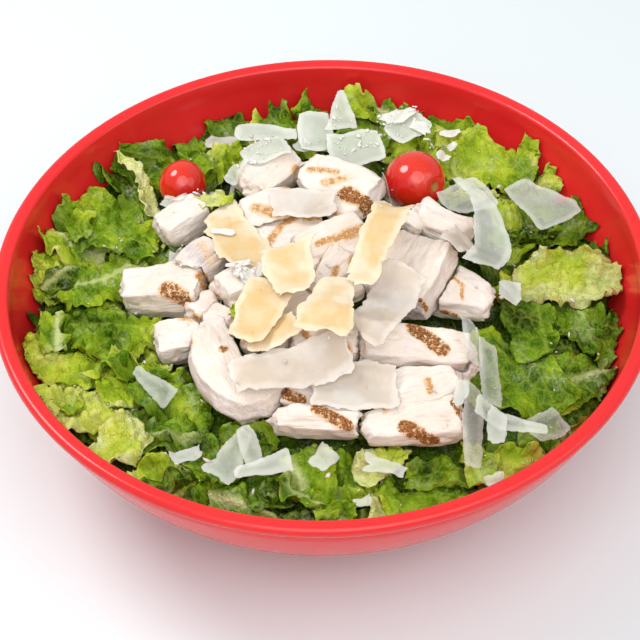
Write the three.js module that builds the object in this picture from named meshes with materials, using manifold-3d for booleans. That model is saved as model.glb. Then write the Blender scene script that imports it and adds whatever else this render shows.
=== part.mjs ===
// Chicken caesar salad in its round melamine bowl: a heap of chopped romaine, chunks of grilled
// chicken breast, shavings of hard cheese and two cherry tomatoes.
// Millimetres, +Z up. The origin is under the middle of the bowl's foot, and the diner sits at -Y.
import * as THREE from "three";
import { mergeVertices } from "three/addons/utils/BufferGeometryUtils.js";
import Module from "manifold-3d";

const wasm = await Module();
wasm.setup();

// ---- driving dimensions ----
const BOWL = {
  rimRadius: 130, // widest point of the rolled lip
  height: 76,
  wall: 3,
  lipDepth: 6, // height of the rolled lip's outer band
  lipOverhang: 2.6, // how far the lip stands out past the wall
  footRadius: 62,
  footWidth: 6,
  footHollow: 2.6, // underside of the floor within the foot ring
  footBevel: 1.2,
  floorTop: 6.4, // inside of the floor
  wallFoot: 14, // wall's slope where it leaves the foot, degrees
  wallHead: 76, // wall's slope where it meets the lip, degrees
  facets: 44,
};
const HEAP = {
  gap: 0.6, // clearance between the heap and the bowl
  edgeHeight: 51, // height of the core at the wall
  lean: 0.03, // how much higher the core lies per millimetre away from the diner
  crownRise: 14, // how far the middle of the core stands above its edge
  crownAt: [-2, -14], // the heap leans towards the diner
  reach: 124, // radius at which the core has fallen to its edge height
  lump: 2.2, // height of the leaf-sized lumps on the core
};
const LEAF_THICKNESS = 1.3;
const LEAF_PRESS = 0.25; // share of a leaf piece that sinks into what it lies on
const SHAVING_THICKNESS = 1.2;
const CLEARANCE = 0.55; // gap kept between pieces that touch
const SLACK = 0.12; // how far small facets left by cutting may be moved to merge them
const COVER = { reach: 3, patch: 9 }; // how far the soft cover spreads from each point, then its smoothing
const DEGREE = Math.PI / 180;

const COLOURS = {
  bowl: 0xe8302f,
  romaine: 0x6f9a32,
  chicken: 0xf0e2d2,
  cheeseAged: 0xf1dca6,
  cheesePale: 0xe6ebe0,
  tomato: 0xd8231a,
};

// ---- small helpers ----

// A repeatable number from 0 to 1 for piece i and use k.
function chance(i, k) {
  const wave = Math.sin(i * 12.9898 + k * 78.233) * 43758.5453;
  return wave - Math.floor(wave);
}

function smooth(t) {
  const x = Math.min(1, Math.max(0, t));
  return x * x * (3 - 2 * x);
}

// The geometry with one vertex for each corner, and its positions alone.
function welded(geometry) {
  const bare = new THREE.BufferGeometry().setAttribute("position", geometry.getAttribute("position"));
  return mergeVertices(bare.setIndex(geometry.index), 1e-4);
}

// A closed solid from a three.js geometry whose faces meet.
function solidFrom(geometry) {
  const merged = welded(geometry);
  const corners = merged.index.array;
  const kept = [];
  for (let i = 0; i < corners.length; i += 3) {
    const [a, b, c] = [corners[i], corners[i + 1], corners[i + 2]];
    if (a !== b && b !== c && c !== a) kept.push(a, b, c);
  }
  return new wasm.Manifold(
    new wasm.Mesh({
      numProp: 3,
      vertProperties: new Float32Array(merged.attributes.position.array),
      triVerts: new Uint32Array(kept),
    }),
  );
}

function geometryFrom(solid) {
  const mesh = solid.getMesh();
  return new THREE.BufferGeometry()
    .setAttribute("position", new THREE.BufferAttribute(new Float32Array(mesh.vertProperties), 3))
    .setIndex(new THREE.BufferAttribute(new Uint32Array(mesh.triVerts), 1));
}

// The geometry moved outwards all over, for cutting its place out of what it presses on.
function grownSolid(geometry, by) {
  const merged = welded(geometry);
  merged.computeVertexNormals();
  const position = merged.getAttribute("position");
  const normal = merged.getAttribute("normal");
  const corner = new THREE.Vector3();
  const outwards = new THREE.Vector3();
  for (let n = 0; n < position.count; n++) {
    outwards.fromBufferAttribute(normal, n);
    corner.fromBufferAttribute(position, n).addScaledVector(outwards, by);
    position.setXYZ(n, corner.x, corner.y, corner.z);
  }
  merged.deleteAttribute("normal");
  return solidFrom(merged);
}

// The largest body of a solid, without the scraps that cutting leaves.
function largestBody(solid) {
  return solid.decompose().reduce((best, body) => (body.volume() > best.volume() ? body : best));
}

// A thin closed sheet over a midsurface: both faces are split into triangles alike, and a rim joins
// them. u runs across from -1 to 1 and v along from 0 to 1.
function sheetGeometry(cellsAlong, cellsAcross, thickness, pointAt) {
  const step = 1e-3;
  const positions = [];
  const index = [];
  const columns = cellsAcross + 1;
  const perFace = (cellsAlong + 1) * columns;
  for (const side of [1, -1]) {
    for (let i = 0; i <= cellsAlong; i++) {
      for (let j = 0; j <= cellsAcross; j++) {
        const v = i / cellsAlong;
        const u = (2 * j) / cellsAcross - 1;
        const middle = pointAt(u, v);
        const along = pointAt(u, v + step).sub(pointAt(u, v - step));
        const across = pointAt(u + step, v).sub(pointAt(u - step, v));
        const normal = along.cross(across).normalize();
        middle.addScaledVector(normal, (side * thickness) / 2);
        positions.push(middle.x, middle.y, middle.z);
      }
    }
  }
  const at = (face, i, j) => face * perFace + i * columns + j;
  for (let i = 0; i < cellsAlong; i++) {
    for (let j = 0; j < cellsAcross; j++) {
      const top = [at(0, i, j), at(0, i + 1, j), at(0, i + 1, j + 1), at(0, i, j + 1)];
      const under = [at(1, i, j), at(1, i + 1, j), at(1, i + 1, j + 1), at(1, i, j + 1)];
      index.push(top[0], top[1], top[2], top[0], top[2], top[3]);
      index.push(under[0], under[2], under[1], under[0], under[3], under[2]);
    }
  }
  const loop = [];
  for (let j = 0; j < cellsAcross; j++) loop.push([0, j]);
  for (let i = 0; i < cellsAlong; i++) loop.push([i, cellsAcross]);
  for (let j = cellsAcross; j > 0; j--) loop.push([cellsAlong, j]);
  for (let i = cellsAlong; i > 0; i--) loop.push([i, 0]);
  loop.forEach(([i, j], n) => {
    const [k, m] = loop[(n + 1) % loop.length];
    index.push(at(0, i, j), at(0, k, m), at(1, k, m), at(0, i, j), at(1, k, m), at(1, i, j));
  });
  return new THREE.BufferGeometry()
    .setAttribute("position", new THREE.Float32BufferAttribute(positions, 3))
    .setIndex(index);
}

// Turns a piece by roll about its length, pitch of its far end and heading, then moves it.
function placement(x, y, z, heading, pitch = 0, roll = 0) {
  const turn = new THREE.Matrix4().makeRotationZ(heading * DEGREE);
  turn.multiply(new THREE.Matrix4().makeRotationY(-pitch * DEGREE));
  turn.multiply(new THREE.Matrix4().makeRotationX(roll * DEGREE));
  return turn.premultiply(new THREE.Matrix4().makeTranslation(x, y, z));
}

// ---- height map: the top of what is already in the bowl, which later pieces are lowered onto ----

class HeightMap {
  constructor(halfWidth) {
    this.half = halfWidth;
    this.size = 2 * halfWidth + 1; // one cell a millimetre
    this.heights = new Float32Array(this.size * this.size).fill(-Infinity);
  }

  // Calls use(cell, z) for every cell that a triangle covers or almost touches. Triangles that stand on
  // edge are left out, as their neighbours cover the same cells.
  eachCell(geometry, use) {
    const margin = 0.7;
    const position = geometry.getAttribute("position");
    const index = geometry.index.array;
    const corner = [new THREE.Vector3(), new THREE.Vector3(), new THREE.Vector3()];
    for (let i = 0; i < index.length; i += 3) {
      corner.forEach((point, k) => point.fromBufferAttribute(position, index[i + k]));
      const [a, b, c] = corner;
      const area = (b.x - a.x) * (c.y - a.y) - (c.x - a.x) * (b.y - a.y);
      const sides = [
        [b, c],
        [c, a],
        [a, b],
      ].map(([p, q]) => Math.hypot(p.x - q.x, p.y - q.y));
      if (Math.abs(area) < 0.5 * Math.max(...sides)) continue;
      const slack = sides.map((side) => (-margin * side) / Math.abs(area));
      const x0 = Math.floor(Math.min(a.x, b.x, c.x) - margin);
      const x1 = Math.ceil(Math.max(a.x, b.x, c.x) + margin);
      const y0 = Math.floor(Math.min(a.y, b.y, c.y) - margin);
      const y1 = Math.ceil(Math.max(a.y, b.y, c.y) + margin);
      for (let y = y0; y <= y1; y++) {
        for (let x = x0; x <= x1; x++) {
          const wa = ((b.x - x) * (c.y - y) - (c.x - x) * (b.y - y)) / area;
          const wb = ((c.x - x) * (a.y - y) - (a.x - x) * (c.y - y)) / area;
          const shares = [wa, wb, 1 - wa - wb];
          if (shares.some((share, k) => share < slack[k])) continue;
          const inside = shares.map((share) => Math.max(0, share));
          const sum = inside[0] + inside[1] + inside[2];
          const z = (inside[0] * a.z + inside[1] * b.z + inside[2] * c.z) / sum;
          use((y + this.half) * this.size + x + this.half, z);
        }
      }
    }
  }

  raise(geometry) {
    this.eachCell(geometry, (cell, z) => {
      this.heights[cell] = Math.max(this.heights[cell], z);
    });
  }

  // How far up the geometry has to move for a share of its underside to be clear of what is below it.
  liftFor(geometry, share = 1) {
    const needed = [];
    this.eachCell(geometry, (cell, z) => {
      if (this.heights[cell] > 0) needed.push(this.heights[cell] - z);
    });
    needed.sort((a, b) => a - b);
    return needed[Math.ceil(share * (needed.length - 1))] ?? -Infinity;
  }

  // A soft cover over everything: the highest point near each cell, then the mean over a wider patch.
  cover(reach, patch) {
    const spread = (from, radius, start, join, finish) => {
      let values = from;
      for (const stride of [1, this.size]) {
        const next = new Float32Array(values.length);
        for (let cell = 0; cell < values.length; cell++) {
          let sum = start;
          for (let k = -radius; k <= radius; k++) sum = join(sum, values[cell + k * stride] ?? values[cell]);
          next[cell] = finish(sum, 2 * radius + 1);
        }
        values = next;
      }
      return values;
    };
    const soft = new HeightMap(this.half);
    const filled = this.heights.map((z) => Math.max(z, HEAP.edgeHeight));
    const highest = spread(filled, reach, 0, Math.max, (sum) => sum);
    soft.heights = spread(highest, patch, 0, (sum, z) => sum + z, (sum, count) => sum / count);
    return soft;
  }

  // Height between cells.
  at(x, y) {
    const [column, row] = [Math.floor(x), Math.floor(y)];
    const [p, q] = [x - column, y - row];
    const cell = (row + this.half) * this.size + column + this.half;
    const near = this.heights[cell] * (1 - p) + this.heights[cell + 1] * p;
    const far = this.heights[cell + this.size] * (1 - p) + this.heights[cell + this.size + 1] * p;
    return near * (1 - q) + far * q;
  }
}

// Lays a thin sheet over the soft cover, clear of the sheets already laid and sunk a little into the
// highest spots of the rest. outline gives its points by u and v as if it lay flat; pitch and roll tip
// it further.
function layDown({ map, cover, laid }, sheet, cells, outline) {
  const spin = placement(sheet.at[0], sheet.at[1], 0, sheet.heading);
  const drape = sheet.drape ?? 1;
  const steep = [sheet.pitch ?? 0, sheet.roll ?? 0].map((angle) => Math.tan(angle * DEGREE));
  const geometry = sheetGeometry(cells, 2, SHAVING_THICKNESS, (u, v) => {
    const point = outline(u, v);
    point.z += steep[0] * point.x + steep[1] * point.y;
    point.applyMatrix4(spin);
    point.z += drape * cover.at(point.x, point.y) + (1 - drape) * cover.at(...sheet.at);
    return point;
  });
  const lift = map.liftFor(geometry, 1 - (sheet.sink ?? 0));
  geometry.translate(0, 0, Math.max(lift, laid.liftFor(geometry) + CLEARANCE));
  laid.raise(geometry);
  return geometry;
}

// ---- bowl ----

// The wall is an arc from the foot's slope to the lip's slope.
const WALL_STEPS = 5;
const WALL_SPAN = Math.sin(BOWL.wallHead * DEGREE) - Math.sin(BOWL.wallFoot * DEGREE);
const WALL_RADIUS = (BOWL.rimRadius - BOWL.lipOverhang - BOWL.footRadius) / WALL_SPAN;
const WALL_CENTRE = {
  r: BOWL.rimRadius - BOWL.lipOverhang - WALL_RADIUS * Math.sin(BOWL.wallHead * DEGREE),
  z: BOWL.height - BOWL.lipDepth + WALL_RADIUS * Math.cos(BOWL.wallHead * DEGREE),
};

// Point of the wall's arc moved inwards by inset, at a slope in degrees.
function wallPoint(slope, inset) {
  const radius = WALL_RADIUS - inset;
  return [
    WALL_CENTRE.r + radius * Math.sin(slope * DEGREE),
    WALL_CENTRE.z - radius * Math.cos(slope * DEGREE),
  ];
}

function wallArc(from, to, steps, inset) {
  return Array.from({ length: steps + 1 }, (_, i) => wallPoint(from + ((to - from) * i) / steps, inset));
}

function bowlGeometry() {
  const { rimRadius, height, lipDepth, footRadius, footWidth, footHollow, footBevel, floorTop, wall } = BOWL;
  const profile = [
    [0, footHollow],
    [footRadius - footWidth, footHollow],
    [footRadius - footWidth + footBevel, 0],
    [footRadius - footBevel, 0],
    ...wallArc(BOWL.wallFoot + 4, BOWL.wallHead, WALL_STEPS, 0),
    [rimRadius - 0.5, height - lipDepth + 0.3],
    [rimRadius, height - lipDepth + 2.4],
    [rimRadius - 0.7, height - 1.1],
    [rimRadius - 2.6, height],
    [rimRadius - 4.8, height - 0.6],
    ...wallArc(BOWL.wallHead, BOWL.wallFoot, WALL_STEPS, wall),
    [0, floorTop],
  ].map(([r, z]) => new THREE.Vector2(r, z));
  return new THREE.LatheGeometry(profile, BOWL.facets).rotateX(Math.PI / 2);
}

// The bowl's free inside as a solid, open far above the rim, less a gap all round.
function cavitySolid() {
  const inset = BOWL.wall + HEAP.gap;
  const [topRadius] = wallPoint(BOWL.wallHead, inset);
  const tall = 150;
  const profile = [
    [0, BOWL.floorTop + HEAP.gap],
    ...wallArc(BOWL.wallFoot, BOWL.wallHead, WALL_STEPS, inset),
    [topRadius - 0.2, BOWL.height],
    [topRadius - 0.2, tall],
    [0, tall],
  ].map(([r, z]) => new THREE.Vector2(r, z));
  return solidFrom(new THREE.LatheGeometry(profile, BOWL.facets).rotateX(Math.PI / 2));
}

// ---- romaine ----

// Height of the leaf bed that the toppings lie on and the leaves grow out of.
function bedHeight(x, y) {
  const off = Math.hypot(x - HEAP.crownAt[0], y - HEAP.crownAt[1]) / HEAP.reach;
  return HEAP.edgeHeight + HEAP.lean * y + HEAP.crownRise * Math.max(0, 1 - off * off);
}

// Leaf-sized lumps on the bed.
function lumpHeight(x, y) {
  const waves = Math.sin(x / 6.3 + 1.1) * Math.sin(y / 7.1 - 0.4) + 0.6 * Math.sin((x + y) / 4.9 + 2);
  return HEAP.lump * waves;
}

// The heap's core fills the bowl up to the lumpy bed.
function coreSolid() {
  const rings = 7;
  const segments = 28;
  const outer = HEAP.reach + 4;
  const profile = [new THREE.Vector2(0, 1), new THREE.Vector2(outer, 1)];
  for (let i = 0; i <= rings; i++) profile.push(new THREE.Vector2(outer * (1 - i / rings), BOWL.height));
  const block = new THREE.LatheGeometry(profile, segments).rotateX(Math.PI / 2);
  const position = block.getAttribute("position");
  for (let i = 0; i < position.count; i++) {
    if (position.getZ(i) < BOWL.height - 1) continue;
    const [x, y] = [position.getX(i), position.getY(i)];
    position.setZ(i, bedHeight(x, y) + lumpHeight(x, y));
  }
  return solidFrom(block).intersect(cavitySolid());
}

// Half-width of a leaf piece along its length, as a share of its full half-width.
function leafOutline(leaf, i, v) {
  const swell = 0.42;
  const before = Math.min(1, v / swell);
  const rise = leaf.base + (1 - leaf.base) * Math.sin((Math.PI / 2) * before);
  const past = Math.max(0, v - swell) / (1 - swell);
  const fall = leaf.tip + (1 - leaf.tip) * Math.cos((Math.PI / 2) * past);
  const jag = 0.09 * Math.sin(2 * Math.PI * (2.3 * v + chance(i, 1)));
  return rise * fall * (1 + jag);
}

// Point of a leaf piece: u runs from edge to edge, v from the cut end to the tip.
function leafPoint(leaf, i, u, v) {
  const half = (leaf.size[1] / 2) * leafOutline(leaf, i, v);
  const arc = (leaf.arc ?? (chance(i, 4) > 0.45 ? 26 : -30)) * DEGREE;
  const bend = (v - 0.5) * arc;
  const radius = leaf.size[0] / arc;
  const turns = leaf.waves * v + chance(i, 2) + (u > 0 ? 0.37 : 0);
  const ruffle = leaf.ruffle * u * u * Math.sin(2 * Math.PI * turns);
  const fold = Math.abs(u) * half * Math.tan(leaf.fold * DEGREE);
  const slant = 0.16 * half * u * (chance(i, 3) - 0.5) * 2;
  const lift = ruffle + fold;
  return new THREE.Vector3(
    radius * Math.sin(bend) - lift * Math.sin(bend) + slant,
    u * half,
    radius * (1 - Math.cos(bend)) + lift * Math.cos(bend),
  );
}

// Forms of leaf piece: blade cut across, leaf tip, curly edge and stalk.
const FORMS = {
  blade: { base: 0.75, tip: 0.6, fold: 12, ruffle: 2.4, waves: 1.6 },
  tip: { base: 0.8, tip: 0.06, fold: 14, ruffle: 2.0, waves: 1.5 },
  curl: { base: 0.6, tip: 0.5, fold: 20, ruffle: 3.4, waves: 2.2 },
  stalk: { base: 0.8, tip: 0.45, fold: 16, ruffle: 0.6, waves: 1.0 },
};

// The leaf pieces that show, round the bowl from the left. size is length by width, heading is where the
// tip points, pitch how far the tip is raised and roll how far the piece is turned about its length.
const LEAVES = [
  { form: "blade", at: [-85, 35], size: [36, 28], heading: 165, pitch: 2, roll: 12 },
  { form: "blade", at: [-88, 7], size: [42, 32], heading: 205, pitch: 0, roll: 14 },
  { form: "curl", at: [-84, -15], size: [42, 34], heading: 170, pitch: -2, roll: -14 },
  { form: "tip", at: [-99, -26], size: [48, 32], heading: 184, pitch: 3, roll: -22 },
  { form: "curl", at: [-102, 29], size: [28, 22], heading: 150, pitch: 16, roll: 10 },
  { form: "tip", at: [-102, 46], size: [26, 20], heading: 115, pitch: 34, roll: 8 },
  { form: "blade", at: [-68, 80], size: [44, 22], heading: 165, pitch: 2, roll: -34 },
  { form: "stalk", at: [-76, 64], size: [42, 7], heading: 122, pitch: 22, roll: 20 },
  { form: "tip", at: [-42, 79], size: [36, 20], heading: 20, pitch: 4, roll: 30 },
  { form: "curl", at: [-24, 99], size: [20, 15], heading: 95, pitch: 48, roll: 0 },
  { form: "tip", at: [-8, 99], size: [28, 20], heading: 75, pitch: 40, roll: 0 },
  { form: "tip", at: [14, 107], size: [38, 36], heading: 95, pitch: 40, roll: 0 },
  { form: "curl", at: [31, 97], size: [30, 26], heading: 60, pitch: 28, roll: 8 },
  { form: "blade", at: [68, 76], size: [50, 26], heading: -32, pitch: 0, roll: 16 },
  { form: "tip", at: [87, 76], size: [20, 11], heading: 70, pitch: 48, roll: 0 },
  { form: "curl", at: [76, 33], size: [30, 20], heading: 95, pitch: 12, roll: 26 },
  { form: "blade", at: [102, 42], size: [32, 22], heading: 25, pitch: 8, roll: 14 },
  { form: "curl", at: [98, 7], size: [44, 30], heading: -8, pitch: 2, roll: 12 },
  { form: "blade", at: [80, -17], size: [36, 20], heading: 95, pitch: 8, roll: -8 },
  { form: "tip", at: [74, -46], size: [48, 36], heading: -22, pitch: -6, roll: 10 },
  { form: "tip", at: [101, -44], size: [42, 24], heading: 14, pitch: 8, roll: 18 },
  { form: "blade", at: [92, -75], size: [28, 14], heading: 48, pitch: 12, roll: 24 },
  { form: "curl", at: [72, -89], size: [32, 24], heading: -32, pitch: -4, roll: 14 },
  { form: "curl", at: [36, -97], size: [36, 24], heading: 15, pitch: 0, roll: 24 },
  { form: "curl", at: [41, -109], size: [30, 18], heading: 8, pitch: 2, roll: 22 },
  { form: "stalk", at: [21, -101], size: [28, 12], heading: 252, pitch: -10, roll: 0 },
  { form: "blade", at: [-8, -98], size: [26, 19], heading: 250, pitch: -10, roll: 0 },
  { form: "stalk", at: [-27, -107], size: [42, 12], heading: -22, pitch: -2, roll: 20, arc: -50 },
  { form: "blade", at: [-44, -101], size: [30, 22], heading: 235, pitch: -8, roll: 0 },
  { form: "curl", at: [-63, -92], size: [26, 22], heading: 222, pitch: -4, roll: 0 },
  { form: "tip", at: [-80, -75], size: [30, 20], heading: 228, pitch: -4, roll: 0 },
  { form: "curl", at: [-95, -55], size: [40, 26], heading: 212, pitch: 0, roll: -8 },
  { form: "tip", at: [-78, -41], size: [30, 22], heading: 110, pitch: 14, roll: 0 },
  { form: "blade", at: [-66, -62], size: [44, 28], heading: 188, pitch: 0, roll: -14 },
  { form: "tip", at: [-72, 36], size: [28, 18], heading: 212, pitch: -2, roll: 14 },
];

function leafGeometry(leaf, i) {
  const form = { ...FORMS[leaf.form], ...leaf };
  const area = leaf.size[0] * leaf.size[1];
  const [along, across] = area > 1100 ? [4, 3] : area > 700 ? [4, 2] : [3, 2];
  const geometry = sheetGeometry(along, across, LEAF_THICKNESS, (u, v) => leafPoint(form, i, u, v));
  const [x, y] = leaf.at;
  return geometry.applyMatrix4(placement(x, y, 0, leaf.heading, leaf.pitch, leaf.roll));
}

// The leaf pieces lowered one after another onto the core, the outermost first, each pressed into
// what it lands on so that they all hold together.
function leavesSolid(core) {
  const cavity = cavitySolid();
  const map = new HeightMap(Math.ceil(BOWL.rimRadius) + 10);
  map.raise(geometryFrom(core));
  const order = LEAVES.map((leaf, i) => ({ leaf, i, out: Math.hypot(...leaf.at) }));
  order.sort((a, b) => b.out - a.out);
  const solids = order.map(({ leaf, i }) => {
    const geometry = leafGeometry(leaf, i);
    geometry.translate(0, 0, map.liftFor(geometry, 1 - LEAF_PRESS));
    const solid = solidFrom(geometry).intersect(cavity);
    map.raise(geometryFrom(solid));
    return solid;
  });
  return wasm.Manifold.union(solids);
}

// ---- chicken ----

// Chunks of grilled breast from the bottom of the pile to its top. at is the middle of the chunk, size its
// length, width and height, and turn its heading, pitch and roll. Where two press together the upper one
// keeps its shape.
const CHICKEN = [
  { name: "left_back", at: [-57, 34, 70], size: [25, 17, 14], turn: [34, 8, -6] },
  { name: "left_low", at: [-55.5, -28, 65], size: [23, 17, 14], turn: [8, 6, 12] },
  { name: "back_slab", at: [-22, 59, 72], size: [33, 22, 13], turn: [52, -4, 10], taper: 0.1 },
  { name: "front_slice", at: [-4, -73, 68], size: [37, 13, 12], turn: [-3, 0, 16], taper: 0.15 },
  { name: "front_right", at: [31, -74, 67], size: [43, 18, 13], turn: [9, 0, 14], taper: 0.2 },
  { name: "front_fan", at: [35, -60, 70], size: [32, 21, 12], turn: [20, 6, 14] },
  { name: "right_low", at: [44, -45, 69], size: [29, 17, 12], turn: [-16, -6, 12] },
  { name: "right_edge", at: [51, -13, 72], size: [33, 21, 14], turn: [-14, -14, 9], taper: -0.2 },
  { name: "right_tender", at: [48, 25, 72], size: [29, 16, 14], turn: [-28, -8, 0], bend: 0.12, square: 3 },
  { name: "nugget_a", at: [-47, -16, 69], size: [16, 13, 12], turn: [40, 0, 14] },
  { name: "nugget_b", at: [-40, -23, 69], size: [15, 14, 12], turn: [-20, 14, 0] },
  { name: "left_inner", at: [-49, 5, 73], size: [25, 18, 15], turn: [56, -10, 14] },
  { name: "left_block", at: [-63, -4, 68], size: [36, 20, 18], turn: [-4, 8, 6], square: 6, taper: 0.2 },
  { name: "back_left", at: [-22, 31, 75], size: [29, 20, 14], turn: [14, 8, 8] },
  { name: "back_heart", at: [-13, 15, 69], size: [40, 30, 22], turn: [12, 0, 0], square: 3.4 },
  { name: "heart", at: [-10, -22, 69], size: [46, 38, 24], turn: [30, 0, 0], square: 3.4 },
  { name: "middle", at: [-33, -9, 74], size: [20, 16, 14], turn: [30, 0, 0] },
  { name: "front_low", at: [-12, -59, 68], size: [25, 15, 11], turn: [-12, -8, 18] },
  { name: "front_inner", at: [0, -44, 78], size: [29, 15, 13], turn: [-6, 0, 16] },
  { name: "crescent", at: [-37.4, -50.6, 71], size: [50, 21.5, 15], turn: [-58, -8, 0], bend: 0.13, taper: 0.16 },
  { name: "right_inner", at: [34, -8, 77], size: [38, 30, 18], turn: [62, 6, -8] },
  { name: "back_top", at: [6, 44, 77], size: [38, 25, 14], turn: [-38, -6, 16], taper: 0.3 },
  { name: "front_top", at: [34, -45, 76], size: [48, 17, 13], turn: [-7, -3, 18], taper: -0.12 },
  { name: "crown", at: [4, 8, 78], size: [34, 22, 15], turn: [22, 6, 14] },
  { name: "crown_slice", at: [2, -9, 81], size: [24, 12, 9], turn: [48, 8, 24], taper: 0.35 },
];

// A hand-cut chunk: a block with rounded edges, a taper along it, a sideways bend and uneven faces.
function chunkGeometry(chunk, i) {
  const [length, width, height] = chunk.size;
  const geometry = new THREE.BoxGeometry(2, 2, 2, length > 35 ? 4 : 3, 2, 2);
  const position = geometry.getAttribute("position");
  const square = chunk.square ?? 4.5; // high is square-edged, low is round
  for (let n = 0; n < position.count; n++) {
    const [a, b, c] = [position.getX(n), position.getY(n), position.getZ(n)];
    const reach = (Math.abs(a) ** square + Math.abs(b) ** square + Math.abs(c) ** square) ** (1 / square);
    const round = Math.max(Math.abs(a), Math.abs(b), Math.abs(c)) / reach;
    const uneven = (k) => 0.07 * Math.sin(2.1 * a + 3.3 * b + 2.7 * c + 6.28 * chance(i, k));
    const share = 1 + (chunk.taper ?? 0) * a;
    const x = (length / 2) * a * round * (1 + uneven(1));
    const y = (width / 2) * b * round * share * (1 + uneven(2)) + (chunk.bend ?? 0) * length * (a * a - 0.4);
    const z = (height / 2) * c * round * (0.5 + share / 2) * (1 + uneven(3));
    position.setXYZ(n, x, y, z);
  }
  const [x, y, z] = chunk.at;
  return geometry.applyMatrix4(placement(x, y, z, ...chunk.turn));
}

// ---- tomatoes ----

const TOMATOES = [
  { name: "left", at: [-59, 63, 66], diameter: 21, tilt: [30, 40] },
  { name: "right", at: [39, 56, 71], diameter: 25, tilt: [64, 28] },
];

// A whole cherry tomato: a round of revolution, a little longer than wide, with a dimple at the stalk.
function tomatoGeometry(tomato) {
  const steps = 8;
  const radius = tomato.diameter / 2;
  const profile = Array.from({ length: steps + 1 }, (_, i) => {
    const angle = (Math.PI * i) / steps;
    const dimple = 0.1 * radius * smooth(1 - (Math.PI - angle) / 0.5);
    return new THREE.Vector2(
      i === 0 || i === steps ? 0 : radius * Math.sin(angle),
      -radius * 1.04 * Math.cos(angle) - dimple,
    );
  });
  const geometry = new THREE.LatheGeometry(profile, 13).rotateX(Math.PI / 2);
  const [lean, towards] = tomato.tilt;
  return geometry.rotateY(lean * DEGREE).rotateZ(towards * DEGREE).translate(...tomato.at);
}

// ---- cheese ----

// Shavings of hard cheese, in the order in which they fell. kind is aged (thick and golden) or pale (thin),
// drape below 1 is for those that stand away from the slope under them, and sink is the share of the
// piece that is pressed into the chicken.
const SHAVINGS = [
  { kind: "pale", at: [-65.5, -53.5], size: [19, 6], heading: -46, taper: 0.3 },
  { kind: "pale", at: [-36, -84], size: [18, 9], heading: 52, taper: -0.5 },
  { kind: "pale", at: [-29, -83], size: [12, 6], heading: 112 },
  { kind: "pale", at: [-24, -92], size: [20, 6], heading: 12, taper: 0.3 },
  { kind: "pale", at: [-43, 97], size: [14, 9], heading: -24, drape: 0.4 },
  { kind: "pale", at: [-23, 90], size: [25, 9], heading: -4, taper: -0.3, drape: 0.4 },
  { kind: "pale", at: [-2, 88], size: [19, 14], heading: 95, drape: 0.3, pitch: 8 },
  { kind: "pale", at: [15, 77], size: [23, 17], heading: 12, drape: 0.2, roll: 14, sink: 0.3 },
  { kind: "pale", at: [37, 86], size: [17, 14], heading: 40, drape: 0.2, pitch: 6 },
  { kind: "pale", at: [9, 92], size: [11, 8], heading: 88, drape: 0, pitch: 44, taper: -0.7 },
  { kind: "pale", at: [59, 44], size: [22, 14], heading: 28, taper: 0.3, drape: 0.3, roll: 10 },
  { kind: "pale", at: [90, 47], size: [29, 18], heading: -52, taper: 0.3, drape: 0.6 },
  { kind: "pale", at: [73, -7], size: [16, 8], heading: 80 },
  { kind: "aged", at: [53, 3], size: [19, 10], heading: 62 },
  { kind: "pale", at: [63, 15], size: [56, 12], heading: -86, taper: 0.4, sweep: -0.16, drape: 0.6 },
  { kind: "pale", at: [54, -46], size: [22, 6], heading: -84 },
  { kind: "pale", at: [53, -78], size: [30, 7], heading: -94 },
  { kind: "pale", at: [60, -62], size: [21, 7], heading: -88 },
  { kind: "pale", at: [82, -68], size: [14, 11], heading: 30 },
  { kind: "pale", at: [67, -81], size: [26, 6], heading: -14, taper: -0.4 },
  { kind: "pale", at: [-23, 66], size: [19, 13], heading: 24, drape: 0.6, roll: 8, sink: 0.1 },
  { kind: "pale", at: [-8, 29], size: [25, 15], heading: -6, sink: 0.1 },
  { kind: "aged", at: [-34, 12], size: [43, 17], heading: 113, taper: -0.1, sink: 0.1 },
  { kind: "pale", at: [10, -63], size: [31, 19], heading: -8, sink: 0.1 },
  { kind: "pale", at: [-13, -57], size: [46, 15], heading: 10, sink: 0.1 },
  { kind: "aged", at: [-20, -44], size: [19, 12], heading: 14, sink: 0.1 },
  { kind: "pale", at: [23, -34], size: [38, 17], heading: 62, sink: 0.1 },
  { kind: "aged", at: [-25, -35], size: [28, 17], heading: 66, taper: 0.2, sink: 0.1 },
  { kind: "aged", at: [2, -37], size: [27, 18], heading: 76, taper: -0.3, sink: 0.1 },
  { kind: "aged", at: [21, -6], size: [48, 13], heading: 70, taper: 0.2, sink: 0.1 },
  { kind: "aged", at: [-13, -19], size: [27, 17], heading: 100, taper: 0.25, sink: 0.1 },
];

// Point of a shaving: it bends a little along its length, and sweep curves it in its own plane.
function shavingPoint(shaving, i, u, v) {
  const [length, width] = shaving.size;
  const arc = (4 + 4 * chance(i, 5)) * DEGREE;
  const bend = (v - 0.5) * arc;
  const radius = length / arc;
  const share = 1 + (shaving.taper ?? 0.2 * (chance(i, 6) - 0.5)) * (2 * v - 1);
  const nibble = 1 + 0.08 * Math.sin(9 * v + 6.28 * chance(i, 7) + 2 * u);
  const ripple = 0.5 * Math.sin(6 * v + 3 * u + 6.28 * chance(i, 8));
  const sweep = (shaving.sweep ?? 0.04 * (chance(i, 9) - 0.5)) * length * ((2 * v - 1) ** 2 - 0.4);
  return new THREE.Vector3(
    radius * Math.sin(bend) + 0.1 * width * u * (chance(i, 10) - 0.5),
    (width / 2) * u * share * nibble + sweep,
    radius * (1 - Math.cos(bend)) + ripple,
  );
}

// ---- assembly ----

const salad = new THREE.Group();

function addPiece(name, geometry, colour, roughness) {
  const material = new THREE.MeshStandardMaterial({ color: colour, roughness, metalness: 0 });
  const mesh = new THREE.Mesh(geometry, material);
  mesh.name = name;
  salad.add(mesh);
}

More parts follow.
